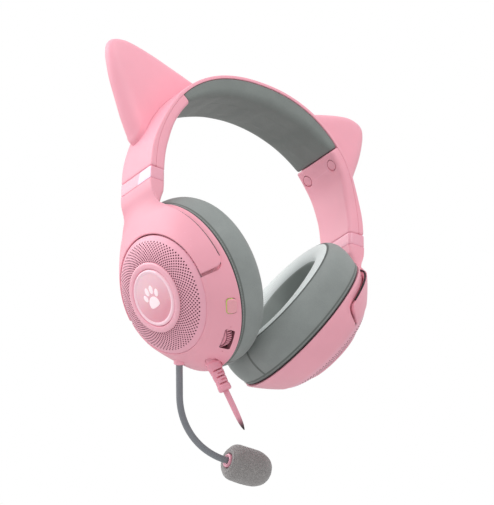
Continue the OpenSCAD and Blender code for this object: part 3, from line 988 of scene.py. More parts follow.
# ------------------------------------------------------------------ sliders and yokes
def make_collar(s, side):
    rings = []
    hw = 15.7
    for z, ins in ((117.72, 0.3), (117.85, 0.1), (118.2, 0.0), (120, 0), (122, 0), (124, 0), (124.95, 0.0), (125.3, 0.1), (125.42, 0.3)):
        x1 = 76.58 - 0.05 * ((z - 120) / 6) ** 2 - ins
        x0 = 65.9 + 0.1 * ((z - 121) / 5) ** 2 + ins
        o = arm_outline(hw - ins - 0.05, 0.0, x1 - x0, 0.9, 2.9, 8)
        # o runs from the outer face inwards
        rings.append(W(np.stack([x1 - o[:, 1], o[:, 0], np.full(len(o), z)], 1), s))
    v, f = loft(rings)
    ob = build(f"slider_collar_{side}_ring", v, f, None, sharp=0)
    boolean(ob, [solid_tmp("c", *chord_cut(s))])
    finish_piece(ob, M["gloss"], f"slider_{side}", [f"slider_collar_{side}"], 38)
    me = ob.data
    # faces facing outwards keep the painted reflection; the other faces take the plain gloss
    me.materials.append(M["gloss_plain"])
    me.polygons.foreach_set("material_index", (face_normals(me)[:, 0] * s < 0.75).astype(np.int32))


for s, side in SIDES:
    make_collar(s, side)


def ab(z, pts):
    """Half-axes at height z from a table of (z, a, b), highest z first."""
    zz = np.array([p[0] for p in pts][::-1])
    return np.interp(z, zz, [p[1] for p in pts][::-1]), np.interp(z, zz, [p[2] for p in pts][::-1])


def hood_out(z):
    a, b = ab(z, [(3, 36.3, 36.3), (-0.05, 36.3, 36.3), (-10.6, 44.6, 51.2), (-11.5, 44.5, 51.1), (-14, 44.5, 51.1)])
    f = np.clip((-0.05 - z) / 10.55, 0, 1)
    bow = 0.55 * 4 * f * (1 - f)
    return a + bow, b + bow


def hood_inn(z, g=0.0):
    return ab(z, [(5, 35.8 - g, 35.8 - g), (-2.2 - g, 35.8 - g, 35.8 - g), (-10.6 - g, 41.7 - g, 47.9 - g), (-13, 42.6 - g, 49.0 - g), (-20, 42.6 - g, 49.0 - g)])


def hood_solid(outer, inner, y_end, z_top, z_bot, R, zrows, L=150.0):
    """A band round the upper part of the cup: from z_top down to z_bot, ending at y_end, with its lower corners rounded to R."""
    s = np.array([0, 0.12, 0.35, 0.7, 1.2, 1.8, 2.6, 3.5, 4.6, 6.5, 9.0, 12.5, 17, 22])
    u = np.concatenate([s / L, np.linspace(25 / L, 1 - 25 / L, 44), (1 - s / L)[::-1]])
    sect = []
    for uu in u:
        sm = min(uu, 1 - uu) * L
        zb = z_bot + (R - math.sqrt(max(0, R * R - (R - sm) ** 2)) if sm < R else 0.0)
        pts = []
        for fn, rows in ((outer, zrows), (inner, zrows[::-1])):
            for r in rows:
                z = z_top + (zb - z_top) * r
                a, b = fn(z)
                e = math.asin(max(-0.99, min(0.99, y_end / b)))
                ph = e + uu * (math.pi - 2 * e)
                pts.append((a * math.cos(ph), b * math.sin(ph), z))
        sect.append(np.array(pts))
    return loft(sect)


def smin(a, b, k):
    """Smooth union of two distance fields with a fillet of about k."""
    h = np.maximum(k - np.abs(a - b), 0) / k
    return np.minimum(a, b) - h * h * k / 4


def rmax(a, b, r):
    """Intersection of two distance fields with the edge rounded to radius r."""
    u, v = np.maximum(a + r, 0), np.maximum(b + r, 0)
    return np.minimum(np.maximum(a, b) + r, 0) + np.hypot(u, v) - r


def unit(f, h):
    """Scales a field so that its slope is about 1."""
    g = np.gradient(f, h)
    return f / np.maximum(np.sqrt(g[0] ** 2 + g[1] ** 2 + g[2] ** 2), 0.2)


def smooth01(x):
    x = np.clip(x, 0, 1)
    return x * x * (3 - 2 * x)


def cone(x, y, z, fn, h):
    a, b = fn(z)
    e = np.hypot(x / a, y / b)
    return unit((e - 1) * np.hypot(x, y) / np.maximum(e, 1e-3), h)


def sdf_mesh(f, lo, h):
    """Turns a distance field on a grid into vertices and quads."""
    g = openvdb.FloatGrid()
    g.background = 2.0
    g.copyFromArray(np.ascontiguousarray(np.clip(f, -2.0, 2.0).astype(np.float32)))
    pts, quads = g.convertToQuads(isovalue=0.0)
    return np.asarray(pts, float) * h + lo, np.asarray(quads)


def hood_ext(z):
    """The hood's outer cone carried on below the hood, where the neck's outer face runs into it."""
    a, b = ab(np.clip(z, -40, 5), [(5, 36.3, 36.3), (-0.05, 36.3, 36.3), (-10.6, 44.6, 51.2), (-40, 66.0, 91.0)])
    f = np.clip((-0.05 - z) / 10.55, 0, 1)
    bow = 0.5 * 4 * f * (1 - f)
    return a + bow, b + bow


def make_yoke(s, side):
    h = 0.4
    lo = np.array([-48.0, -4.4, -27.2])
    n = (241, 188, 74)
    x, y, z = np.meshgrid(*[lo[i] + h * np.arange(n[i]) for i in range(3)], indexing="ij")
    X = CO[0] + y * ST + z * CT
    Z = CO[2] + y * CT - z * ST
    ay = np.abs(x)
    # outer skin: the arm's flat face easing into the hood's cone
    w = smooth01((112.0 - Z) / 16.0)
    outer = w * cone(x, y, z, hood_ext, h) + (1 - w) * (X - 75.08 - 1.5 * smooth01((Z - 104.0) / 12.0))
    inner = -cone(x, y, z, lambda q: hood_inn(q), h)
    # hood: everything down to its lower edge; neck: the arm's section carried down
    hood = -11.5 - z
    xi = np.interp(Z, [84, 96, 100, 104, 108, 112, 117.7], [70.6, 70.2, 69.6, 68.7, 67.6, 66.2, 65.9])
    ri = np.full_like(Z, 2.9)
    u, v = np.maximum(ay - 15.7 + ri, 0), np.maximum(xi - X + ri, 0)
    neck = np.minimum(np.maximum(ay - 15.7, xi - X) + ri, 0) + np.hypot(u, v) - ri
    body = smin(hood, neck, 3.2)
    # the lower edge keeps clear of the cushion side of the housing
    keep = -cone(x, y, z, lambda q: (np.full_like(q, 45.9), np.full_like(q, 52.1)), h)
    body = np.where(z < -11.5, rmax(body, keep, 0.6), body)
    body = rmax(body, -2.0 - y, 3.6)
    f = rmax(body, outer, 0.55)
    f = rmax(f, inner, 0.15)
    f = rmax(f, z + 0.05, 0.3)
    f = rmax(f, Z - 117.62, 0.15)
    # pocket for the slider's tongue
    c, sn = math.cos(math.radians(8.53)), math.sin(math.radians(8.53))
    dx, dz = X - (71.3 - 0.15 * (112 - ZC)), Z - 112
    tx, tz = dx * c + dz * sn, -dx * sn + dz * c
    pocket = np.maximum(np.maximum(np.abs(tx) - 1.0, ay - 10.3), -3.3 - tz)
    f = np.maximum(f, -pocket)
    v, q = sdf_mesh(f, lo, h)
    ob = solid_tmp(f"yoke_{side}_arm", CUP(v, s), q)
    relax(ob.data, 3, None, 0.5, 0.5)
    finish_piece(ob, M["pink"], f"slider_{side}", [f"yoke_{side}"], 42)


def make_shade_strip(s, side):
    """A thin dark strip under the hood's lower edge: painted shade for the gap there."""
    rows = np.array([0, 0.1, 0.5, 0.9, 1.0])
    v, f = hood_solid(lambda z: (44.5, 51.1), lambda z: (43.75, 50.3), 3.2, -11.35, -12.15, 0.5, rows)
    build(f"yoke_{side}_painted_shade_strip", CUP(v, s), f, M["void"], f"slider_{side}", (), 40)


for s, side in SIDES:
    make_yoke(s, side)
    make_shade_strip(s, side)


# ------------------------------------------------------------------ cup housings
def wall_ab(z):
    t = np.clip((-2 - z) / 15.0, 0, 1)
    bow = 0.45 * 4 * t * (1 - t)
    return 37.6 + 6.85 * t + bow, 37.6 + 13.2 * t + bow


def mic_axes():
    """The boom's frame inside the cup: origin, curve direction, exit direction, bend axis."""
    def rz(a):
        a = math.radians(a)
        return np.array([[math.cos(a), -math.sin(a), 0], [math.sin(a), math.cos(a), 0], [0, 0, 1]])

    def ry(a):
        a = math.radians(a)
        return np.array([[math.cos(a), 0, math.sin(a)], [0, 1, 0], [-math.sin(a), 0, math.cos(a)]])

    R = rz(143.7) @ ry(113.8)
    return np.array([-21.13, -36.39, -8.0]), R


MIC_P, MIC_R = mic_axes()


def MIC(p):
    p = np.array(p, float).reshape(-1, 3)
    return CUP(MIC_P + p @ MIC_R.T)


# darker copies of the pink for the recess and for the slot walls: painted shade
M["recess"] = plastic("recess_pink", (140, 76, 90), 0.6, 0.8, bevel=0.0, sss=0.0)
M["slot"] = plastic("slot_pink", (122, 66, 78), 0.7, 0.8, bevel=0.0, sss=0.0)


def make_housing(s, side):
    n = 256
    ph = np.arange(n) * 2 * math.pi / n
    prof = []

    def ring(a, b, z):
        prof.append(np.stack([a * np.cos(ph), b * np.sin(ph), np.full(n, z)], 1))

    for r, z in ((32.4, -3.2), (32.4, -1.3), (35.12, -1.3), (35.12, -0.22), (35.2, -0.06), (35.36, 0.0), (35.6, -0.02), (35.82, -0.16), (36.4, -0.76), (37.0, -1.36), (37.42, -1.78), (37.62, -2.1)):
        ring(r, r, z)
    for z in (-2.6, -3.6, -5, -6.6, -8.2, -9.8, -11.4, -13, -14.6, -15.8, -16.4):
        a, b = wall_ab(z)
        ring(a, b, z)
    a, b = wall_ab(-16.8)
    ring(a - 0.08, b - 0.08, -16.75)
    ring(a - 0.3, b - 0.3, -16.97)
    ring(a - 0.6, b - 0.6, -17.0)
    ring(42.45, 48.8, -17.0)
    ring(42.4, 48.75, -16.7)
    ring(41.4, 47.8, -15.2)
    ring(37.2, 40.4, -9.2)
    ring(33.0, 33.0, -3.2)
    v, f = loft(prof, close_r=True)
    ob = solid_tmp(f"housing_{side}_shell", CUP(v, s), f)
    cut = []
    inn = lambda z: hood_inn(z, 0.6) if z < -2.7 else (35.13, 35.13)
    far = lambda z: (62.0, 62.0)
    rows = np.array([0, 0.32, 0.34, 0.45, 0.6, 0.75, 0.9, 1.0])
    hv, hf = hood_solid(far, inn, -3.8, 2.0, -12.4, 4.4, rows)
    cut.append(solid_tmp("h", CUP(hv, s), hf))
    if s > 0:
        # button hole, wheel slot, cable hole and boom hole
        o = rpoly([(-4.62, -14.42), (4.62, -14.42), (4.62, -8.78), (-4.62, -8.78)], [1.9, 1.9, 1.9, 1.9], 6)
        bv, bf = rbox(38.4, 50, o)
        cut.append(solid_tmp("b", CUP(rotz(bv, -35.1), s), bf))
        o = rpoly([(-6.7, -13.95), (6.7, -13.95), (6.7, -9.05), (-6.7, -9.05)], [0.8] * 4, 4)
        wv, wf = rbox(38.4, 52, o)
        cut.append(solid_tmp("w", CUP(rotz(wv, -63.0), s), wf))
        a = np.arange(40) * 2 * math.pi / 40
        rr = [np.stack([3.62 * np.cos(a), np.full(40, y), -12.1 + 3.62 * np.sin(a)], 1) for y in (-38.0, -56.0)]
        cv, cf = loft(rr)
        cut.append(solid_tmp("s", CUP(cv, s), cf))
        rr = [np.stack([4.75 * np.cos(a), np.full(40, y), -12.1 + 4.75 * np.sin(a)], 1) for y in (-45.6, -58.0)]
        cv, cf = loft(rr)
        cut.append(solid_tmp("s2", CUP(cv, s), cf))
        rr = [np.stack([3.3 * np.cos(a), np.full(40, y), 3.3 * np.sin(a)], 1) for y in (-13.0, 15.0)]
        cv, cf = loft(rr)
        cut.append(solid_tmp("m", MIC(cv), cf))
    boolean(ob, cut)
    finish_piece(ob, M["pink"], f"cup_{side}", [f"housing_{side}"], 28)
    # the walls and floor of the recess under the yoke take a darker pink: painted shade
    me = ob.data
    me.materials.append(M["recess"])
    lo = local_cup(face_centres(me), s)
    nl = local_dir(face_normals(me), s)
    end = (np.abs(lo[:, 1] + 3.8) < 0.1) & (nl[:, 1] > 0.9)
    floor = (lo[:, 1] > -3.9) & (lo[:, 2] > -12.6) & (lo[:, 2] < -7.6) & (nl[:, 2] > 0.9) & (np.hypot(lo[:, 0] / 41.0, lo[:, 1] / 47.0) > 1)
    mi = (end | floor).astype(np.int32)
    if s > 0:
        # the walls of the button hole and the wheel slot take the darkest pink: painted shade
        me.materials.append(M["slot"])
        for deg, hw, z0, z1 in ((35.1, 4.62, -14.42, -8.78), (63.0, 6.7, -13.95, -9.05)):
            q = rotz(lo, deg)
            nq = rotz(nl, deg)
            hole = (np.abs(q[:, 1]) < hw + 0.05) & (q[:, 2] > z0 - 0.05) & (q[:, 2] < z1 + 0.05) & (q[:, 0] > 38) & (np.abs(nq[:, 0]) < 0.25)
            mi[hole] = 2
    me.polygons.foreach_set("material_index", mi)


for s, side in SIDES:
    make_housing(s, side)

# grille dome: radius to height, a smooth crown
G_R = np.array([0, 17.2, 20.7, 25.0, 28.0, 30.0, 31.8, 33.2, 34.2, 34.75, 35.0])
G_Z = np.array([7.1, 7.0, 6.75, 5.65, 4.55, 3.62, 2.62, 1.62, 0.75, 0.25, -0.05])


def catmull(x, xs, ys):
    i = np.clip(np.searchsorted(xs, x) - 1, 0, len(xs) - 2)
    m = np.gradient(ys, xs)
    h = xs[i + 1] - xs[i]
    t = (x - xs[i]) / h
    return ys[i] * (2 * t ** 3 - 3 * t ** 2 + 1) + m[i] * h * (t ** 3 - 2 * t ** 2 + t) + ys[i + 1] * (3 * t ** 2 - 2 * t ** 3) + m[i + 1] * h * (t ** 3 - t ** 2)


def dome(r):
    return catmull(np.asarray(r, float), G_R, G_Z)


def make_grille(s, side):
    """A pressed dome with real holes: 12 rings of 78, each ring turned half a step from the last."""
    NH, ROWS, PITCH, R0, HR = 78, 12, 0.975, 21.2, 0.48
    q = NH * 4
    verts, faces, dark = [], [], set()
    idx = {}

    def vert(r, a, layer):
        key = (round(r * 200), round((a % (2 * math.pi)) * 20000) % round(2 * math.pi * 20000), layer)
        if key not in idx:
            idx[key] = len(verts)
            verts.append((r * math.cos(a), r * math.sin(a), float(dome(r)) - (1.15 if layer else 0.0)))
        return idx[key]

    step = 2 * math.pi / q
    for i in range(ROWS):
        rc = R0 + i * PITCH
        r0, r1 = rc - PITCH / 2, rc + PITCH / 2
        for k in range(NH):
            c = 4 * k + 2 * (i % 2)      # cell centre in quarter steps
            ring = [(r0, c - 2), (r0, c - 1), (r0, c), (r0, c + 1), (r0, c + 2), (rc, c + 2),
                    (r1, c + 2), (r1, c + 1), (r1, c), (r1, c - 1), (r1, c - 2), (rc, c - 2)]
            out0 = [vert(r, a * step, 0) for r, a in ring]
            out1 = [vert(r, a * step, 1) for r, a in ring]
            ca = c * step
            hole = []
            for r, a in ring:
                dr, dt = r - rc, (a - c) * step * rc
                l = math.hypot(dr, dt)
                hole.append((rc + dr / l * HR, ca + dt / l * HR / rc))
            h0 = len(verts)
            for r, a in hole:
                verts.append((r * math.cos(a), r * math.sin(a), float(dome(r)) - 0.02))
            for r, a in hole:
                verts.append((r * math.cos(a), r * math.sin(a), float(dome(r)) - 1.15))
            for j in range(12):
                j2 = (j + 1) % 12
                faces.append((out0[j], out0[j2], h0 + j2, h0 + j))
                faces.append((out1[j2], out1[j], h0 + 12 + j, h0 + 12 + j2))
                dark.add(len(faces))
                faces.append((h0 + j, h0 + j2, h0 + 12 + j2, h0 + 12 + j))
    rin, rout = R0 - PITCH / 2, R0 + (ROWS - 0.5) * PITCH

    def annulus(rs, layer):
        rows = []
        for r in rs:
            rows.append([vert(r, j * step, layer) for j in range(q)])
        for a, b in zip(rows[:-1], rows[1:]):
            for j in range(q):
                faces.append((a[j], a[(j + 1) % q], b[(j + 1) % q], b[j]) if layer == 0 else (a[(j + 1) % q], a[j], b[j], b[(j + 1) % q]))
        return rows

    t_in = annulus([17.4, 18.5, 19.6, rin], 0)
    t_out = annulus([rout, 32.8, 33.3, 33.8, 34.2, 34.5, 34.75, 34.92, 35.0], 0)
    b_in = annulus([17.4, 18.5, 19.6, rin], 1)
    b_out = annulus([rout, 32.7, 33.0], 1)

    def wall(rows_a, extra):
        prev = rows_a
        for r, z in extra:
            now = []
            for j in range(q):
                a = j * step
                now.append(len(verts))
                verts.append((r * math.cos(a), r * math.sin(a), z))
            for j in range(q):
                faces.append((prev[j], prev[(j + 1) % q], now[(j + 1) % q], now[j]))
            prev = now
        return prev

    last = wall(t_out[-1], [(35.0, -1.2), (32.9, -1.2)])
    for j in range(q):
        faces.append((last[j], last[(j + 1) % q], b_out[-1][(j + 1) % q], b_out[-1][j]))
    for j in range(q):
        faces.append((t_in[0][(j + 1) % q], t_in[0][j], b_in[0][j], b_in[0][(j + 1) % q]))
    ob = build(f"grille_{side}_dome", CUP(verts, s), faces, M["grille"], f"cup_{side}", [f"grille_{side}"], 45)
    # the hole walls take a darker pink: painted shade
    me = ob.data
    me.materials.append(M["bore"])
    lo = local_cup(face_centres(me), s)
    r = np.hypot(lo[:, 0], lo[:, 1])
    nl = local_dir(face_normals(me), s)
    depth = dome(r) - lo[:, 2]
    inside = (np.abs(nl[:, 2]) < 0.5) & (depth > 0.3) & (depth < 1.0) & (r > R0 - 0.7) & (r < R0 + (ROWS - 0.2) * PITCH)
    me.polygons.foreach_set("material_index", inside.astype(np.int32))
    # a dark sheet behind the holes: painted shade for the dark seen through them
    rr = np.linspace(18.6, 32.3, 14)
    prof = [(a, float(dome(a)) - 1.22) for a in rr] + [(a, float(dome(a)) - 1.5) for a in rr[::-1]]
    v, f = revolve(prof, 96)
    build(f"grille_{side}_shade_backing", CUP(v, s), f, M["void"], f"cup_{side}", (), 40)


M["grille"] = plastic("grille_pink", (252, 182, 200), 0.36, 0.6, bevel=0.0, sss=0.0)
# a darker pink for hole walls and grooves: painted shade
M["bore"] = plastic("grille_bore", (150, 84, 100), 0.6, 0.6, bevel=0.0, sss=0.0)
for s, side in SIDES:
    make_grille(s, side)


def make_medallion(s, side):
    ring = [(17.0, 1.6), (17.0, 6.2), (17.25, 6.9), (20.55, 6.86), (20.72, 7.02), (20.66, 7.28), (20.35, 7.62), (19.7, 7.9), (18.8, 8.05), (17.9, 8.08), (17.45, 8.0),
            (17.2, 7.75), (16.95, 7.2), (16.8, 6.4), (16.8, 5.9), (15.4, 5.9), (15.4, 1.6)]
    v, f = revolve(ring, 160)
    build(f"medallion_ring_{side}_bezel", CUP(v, s), f, M["ring"], f"cup_{side}", [f"medallion_ring_{side}"], 30)
    # domed lens with a raised rounded rim
    top = [(16.68, 6.0), (16.68, 7.1), (16.6, 7.55), (16.35, 7.98), (15.95, 8.3), (15.5, 8.42), (15.05, 8.36), (14.7, 8.2), (14.4, 8.08), (14.0, 8.1),
           (13, 8.22), (11, 8.46), (9, 8.66), (7, 8.82), (5, 8.93), (3, 8.98), (1.2, 9.0), (0.01, 9.0)]
    bot = [(0.01, 7.0), (8, 6.6), (14.0, 6.05), (16.0, 5.98)]
    v, f = revolve(bot + top, 128, closed=False)
    ob = build(f"medallion_lens_{side}_dome", CUP(v, s), f, M["lens"], f"cup_{side}", [f"medallion_lens_{side}"], 40)
    # the raised rim takes a lighter, faintly glowing material: a painted highlight
    me = ob.data
    me.materials.append(M["lens_rim_painted_highlight"])
    lo = local_cup(face_centres(me), s)
    me.polygons.foreach_set("material_index", ((np.hypot(lo[:, 0], lo[:, 1]) > 14.35) & (lo[:, 2] > 7.3)).astype(np.int32))
    # a generic paw print, an inlay a tenth of a millimetre proud of the lens
    blobs = [(0.0, -2.6, 4.3, 3.5, 0), (-5.1, 1.6, 1.55, 2.3, 24), (-1.95, 4.6, 1.65, 2.5, 8), (1.95, 4.6, 1.65, 2.5, -8), (5.1, 1.6, 1.55, 2.3, -24)]
    for i, (cx, cy, a, b, rot) in enumerate(blobs):
        rings = []
        m = 40
        t = np.arange(m) * 2 * math.pi / m
        for k, up in ((1.0, -0.12), (1.0, 0.03), (0.96, 0.10), (0.86, 0.14), (0.6, 0.15), (0.3, 0.15), (0.02, 0.15)):
            ex, ey = a * k * np.cos(t), b * k * np.sin(t)
            if i == 0:
                # the main pad: lobed at its foot
                ex = ex * (1 + 0.10 * np.sin(t) * -1)
                ey = ey - 0.55 * k * np.cos(t * 1.0) ** 2 * (np.sin(t) < 0) - 0.35 * k * np.cos(2 * t) * (np.sin(t) < 0)
            ra = math.radians(rot)
            x = cx + ex * math.cos(ra) - ey * math.sin(ra)
            y = cy + ex * math.sin(ra) + ey * math.cos(ra)
            r = np.hypot(x, y)
            z = -46 + np.sqrt(55.0 ** 2 - r ** 2) * 1.0
            zz = np.interp(r, [p[0] for p in top[::-1]], [p[1] for p in top[::-1]])
            rings.append(np.stack([x, y, zz + up], 1))
        v, f = loft(rings)
        build(f"emblem_{side}_{i + 1}", CUP(v, s), f, M["emblem"], f"cup_{side}", (), 40)


for s, side in SIDES:
    make_medallion(s, side)


# ------------------------------------------------------------------ ear cushions
def stadium(ph, r, d, cy):
    """Point on a stadium outline for direction ph."""
    c, sn = math.cos(ph), math.sin(ph)
    # ray from the centre
    if abs(sn) * r <= abs(c) * d + 1e-9 and abs(c) > 1e-9:
        k = r / abs(c)
        return k * c, k * sn + cy
    # round ends: |p - (0, +-d)| = r
    e = d if sn > 0 else -d
    B = -2 * e * sn
    C = e * e - r * r
    k = (-B + math.sqrt(B * B - 4 * C)) / 2
    return k * c, k * sn + cy


SEAM_PH = -1.52          # where the wrap-around panel is joined


def make_cushion(s, side):
    # columns: even spacing with three tight ones at the cross seam
    base = list(np.arange(112) * 2 * math.pi / 112)
    base = [p for p in base if abs((p - SEAM_PH + math.pi) % (2 * math.pi) - math.pi) > 0.022]
    ph = np.array(sorted(base + [SEAM_PH % (2 * math.pi) + d for d in (-0.011, 0.0, 0.011)]))
    # rows: (kind, a or blend, b, z, shift, pin)
    rows = [
        (42.2, 48.6, -17.25, 0.1, 1), (43.3, 49.5, -17.5, 0.1, 1), (43.9, 50.0, -18.3, 0.15, 0), (44.1, 50.2, -19.3, 0.2, 1),
        (43.75, 49.85, -19.75, 0.2, 1), (44.2, 50.25, -20.2, 0.2, 1), (44.6, 50.6, -21.6, 0.3, 0), (44.95, 50.95, -24, 0.45, 0), (45.1, 51.05, -26.6, 0.55, 0), (45.1, 51.0, -29.2, 0.7, 0),
        (44.9, 50.6, -31.8, 0.85, 0), (44.4, 49.8, -34.2, 0.95, 0), (43.5, 48.6, -36.4, 1.1, 0), (42.2, 47.1, -38.2, 1.2, 0.3), (40.7, 45.4, -39.3, 1.3, 1),
        (40.3, 44.9, -39.15, 1.3, 1), (39.8, 44.4, -39.6, 1.3, 1)]
    P, pin, kind = [], [], []
    for a, b, z, d, p in rows:
        P.append([(a * math.cos(t), b * math.sin(t) + d, z) for t in ph])
        pin.append(p)
    # fabric face: blends from the outer seam to the opening
    for k, z, p in ((0.12, -40.1, 0), (0.28, -40.45, 0), (0.46, -40.3, 0), (0.64, -39.7, 0), (0.80, -38.7, 0), (0.92, -37.4, 0.3), (0.985, -36.2, 1), (1.0, -35.4, 1)):
        row = []
        for t in ph:
            x0, y0 = 39.8 * math.cos(t), 44.4 * math.sin(t) + 1.3
            x1, y1 = stadium(t, 22.6, 11, 1.5)
            row.append((x0 + (x1 - x0) * k, y0 + (y1 - y0) * k, z))
        P.append(row)
        pin.append(p)
    for k, z, p in ((1.0, -33, 0.3), (1.0, -29, 0.3), (1.0, -25, 0.3), (1.0, -21, 0.3), (1.0, -17.9, 1), (1.0, -17.25, 1)):
        P.append([(*stadium(t, 22.75, 11, 1.5), z) for t in ph])
        pin.append(p)
    nr, nc = len(P), len(ph)
    v = np.array(P).reshape(-1, 3)
    pinv = np.repeat(np.array(pin, float), nc)
    # the cross seam is a shallow valley in the outer wall, between the rim seam and the face seam
    j = int(np.argmin(np.abs(ph - SEAM_PH % (2 * math.pi))))
    for i in range(5, 15):
        q = v[i * nc + j]
        r = math.hypot(q[0], q[1])
        v[i * nc + j, :2] = q[:2] * (r - 0.55) / r
        pinv[i * nc + j] = 1
    f = tube_faces(nr, nc, True, True)
    me = bpy.data.meshes.new(f"cushion_{side}_pad")
    me.from_pydata([tuple(x) for x in CUP(v, s)], [], f)
    bm = bmesh.new()
    bm.from_mesh(me)
    bmesh.ops.recalc_face_normals(bm, faces=bm.faces)
    bm.to_mesh(me)
    bm.free()
    ob = bpy.data.objects.new(me.name, me)
    SCN.collection.objects.link(ob)
    inflate(ob, pinv, 4.0, 0.0010)
    # faces of the front panel take the fabric, the rest the leatherette
    me = ob.data
    me.materials.append(M["leather"])
    me.materials.append(M["fabric"])
    me.materials.append(M["inner_leather"])
    me.materials.append(M["seam"])
    me.materials.append(M["seam_light"])
    mi = np.zeros(len(me.polygons), np.int32)
    for k, p in enumerate(me.polygons):
        r = min(x // nc for x in p.vertices)
        rmax = max(x // nc for x in p.vertices)
        if r == 0 and rmax == nr - 1:
            mi[k] = 0
        elif 16 <= r < 23:
            mi[k] = 1
        elif r >= 23:
            mi[k] = 2
        cols = [x % nc for x in p.vertices]
        # the two rows against the housing take the dark seam material as painted shade between the parts; rows 14 and
        # 15 mark the face seam
        if (r <= 1 and rmax < 5) or (r in (14, 15) and rmax <= 16):
            mi[k] = 3
        if (r in (3, 4) and rmax <= 5) or (5 <= r < 14 and j in cols and max(cols) - min(cols) <= 1):
            mi[k] = 4
    me.polygons.foreach_set("material_index", mi)
    subdivide(ob)
    me = ob.data
    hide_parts(f"cushion_{side}")
    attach(ob, f"cup_{side}")
    # stitches along the rim seam and the face seam
    sv, sf = [], []

    def stitch(p, q, up, w=0.12, h=0.08):
        n0 = len(sv)
        t = (q - p) / np.linalg.norm(q - p)
        b = np.cross(t, up)
        for u, k in ((0.0, 0.25), (0.15, 0.85), (0.5, 1.0), (0.85, 0.85), (1.0, 0.25)):
            c = p + (q - p) * u + up * (h * (k - 0.35))
            for a in range(6):
                an = a * math.pi / 3
                sv.append(c + (b * math.cos(an) * w + up * math.sin(an) * w) * k)
        for i in range(4):
            for a in range(6):
                sf.append((n0 + i * 6 + a, n0 + i * 6 + (a + 1) % 6, n0 + (i + 1) * 6 + (a + 1) % 6, n0 + (i + 1) * 6 + a))
        for e in (0, 4):
            sf.append(tuple(n0 + e * 6 + a for a in range(6)))

    for a, b, z, d in ((44.18, 50.25, -18.75, 0.2), (41.15, 45.95, -38.8, 1.25)):
        m = 176
        for k in range(m):
            t0, t1 = (k + 0.18) * 2 * math.pi / m, (k + 0.82) * 2 * math.pi / m
            p = np.array([a * math.cos(t0), b * math.sin(t0) + d, z])
            q = np.array([a * math.cos(t1), b * math.sin(t1) + d, z])
            up = np.array([p[0] / a, p[1] / b, 0.0 if z > -20 else -0.9])
            up /= np.linalg.norm(up)
            stitch(p, q, up)
    build(f"cushion_{side}_stitching", CUP(sv, s), sf, M["thread"], f"cup_{side}", (), 0)


def thread_mat():
    n = N("thread")
    mp = n.noise(9000, 2)
    n.set(color=n.mix(mp, lin(96, 103, 100), lin(126, 133, 130)), rough=0.7, sheen=0.3, normal=n.bump(mp, 0.4, 0.0001))
    return n.mat


M["thread"] = thread_mat()
M["seam"] = leather("leatherette_seam", (78, 84, 81), 1.3)
M["seam_light"] = leather("leatherette_groove", (108, 114, 111), 1.3)
M["inner_leather"] = leather("leatherette_inner", (168, 175, 172), 1.2)
for s, side in SIDES:
    make_cushion(s, side)


def make_scrim(s, side):
    """The cloth over the driver: a thin sheet, its underside sagging slightly towards the middle."""
    n = 96
    ph = np.arange(n) * 2 * math.pi / n + 1e-4
    rings = []
    for k, z in ((0.02, -18.0), (0.25, -17.98), (0.5, -17.92), (0.75, -17.82), (0.93, -17.72), (1.0, -17.62), (1.0, -17.02), (0.93, -17.0), (0.5, -17.0), (0.02, -17.0)):
        rings.append(np.array([(k * stadium(t, 22.3, 11, 0)[0], k * stadium(t, 22.3, 11, 0)[1] + 1.5, z) for t in ph]))
    v, f = loft(rings)
    build(f"scrim_{side}_cloth", CUP(v, s), f, M["scrim"], f"cup_{side}", [f"scrim_{side}"], 40)


for s, side in SIDES:
    make_scrim(s, side)


# ------------------------------------------------------------------ controls
def make_button():
    rings = []
    # the outer face leans with the housing wall
    lean = 0.52

    def out(x, ins, face):
        o = rpoly([(-4.3 + ins, -14.1 + ins), (4.3 - ins, -14.1 + ins), (4.3 - ins, -9.1 - ins), (-4.3 + ins, -9.1 - ins)], [1.75] * 4, 7)
        xx = np.full(len(o), float(x))
        if face:
            xx = x + 0.45 - lean * (o[:, 1] + 14.1)
        return np.stack([xx, o[:, 0], o[:, 1]], 1)

    rings = [out(39.6, 0.3, False), out(39.6, 0.05, False), out(39.9, 0.0, False), out(43.6 + 1.3, 0.0, True), out(43.95 + 1.3, 0.07, True), out(44.2 + 1.3, 0.25, True),
             out(44.32 + 1.3, 0.55, True), out(44.36 + 1.3, 1.0, True), out(44.3 + 1.3, 1.5, True), out(44.27 + 1.3, 2.2, True)]
    v, f = loft(rings)
    base = plastic("button_plastic", (250, 176, 186), 0.3, 0.6, bevel=0.0)
    ob = build("mute_button_cap", CUP(rotz(v, -35.1)), f, base, "mute_button", ["mute_button"], 35)
    # a light-coloured indicator line round the side of the button nearest the grille
    o = rpoly([(-4.42, -14.2), (4.42, -14.2), (4.42, -8.98), (-4.42, -8.98)], [1.85] * 4, 8)
    keep = [p for p in o]
    path = [p for p in keep if p[1] > -12.6]
    path = sorted(path, key=lambda p: math.atan2(p[1] + 12.6, p[0]))
    rr = []
    for p in path:
        c = np.array([0.0, p[0], p[1]])
        x = 43.45 + 1.3 - lean * (p[1] + 14.1)
        d = np.array([p[0], p[1] + 12.0])
        d /= np.linalg.norm(d)
        ring = []
        for a in range(8):
            an = a * math.pi / 4
            w = 0.2 * math.cos(an)
            h = 0.35 * math.sin(an)
            ring.append((x + h, p[0] + d[0] * w * 0.7, p[1] + d[1] * w * 0.7))
        rr.append(np.array(ring))
    v, f = loft(rr)
    build("mute_indicator_line", CUP(rotz(v, -35.1)), f, M["indicator"], "mute_button", (), 40)


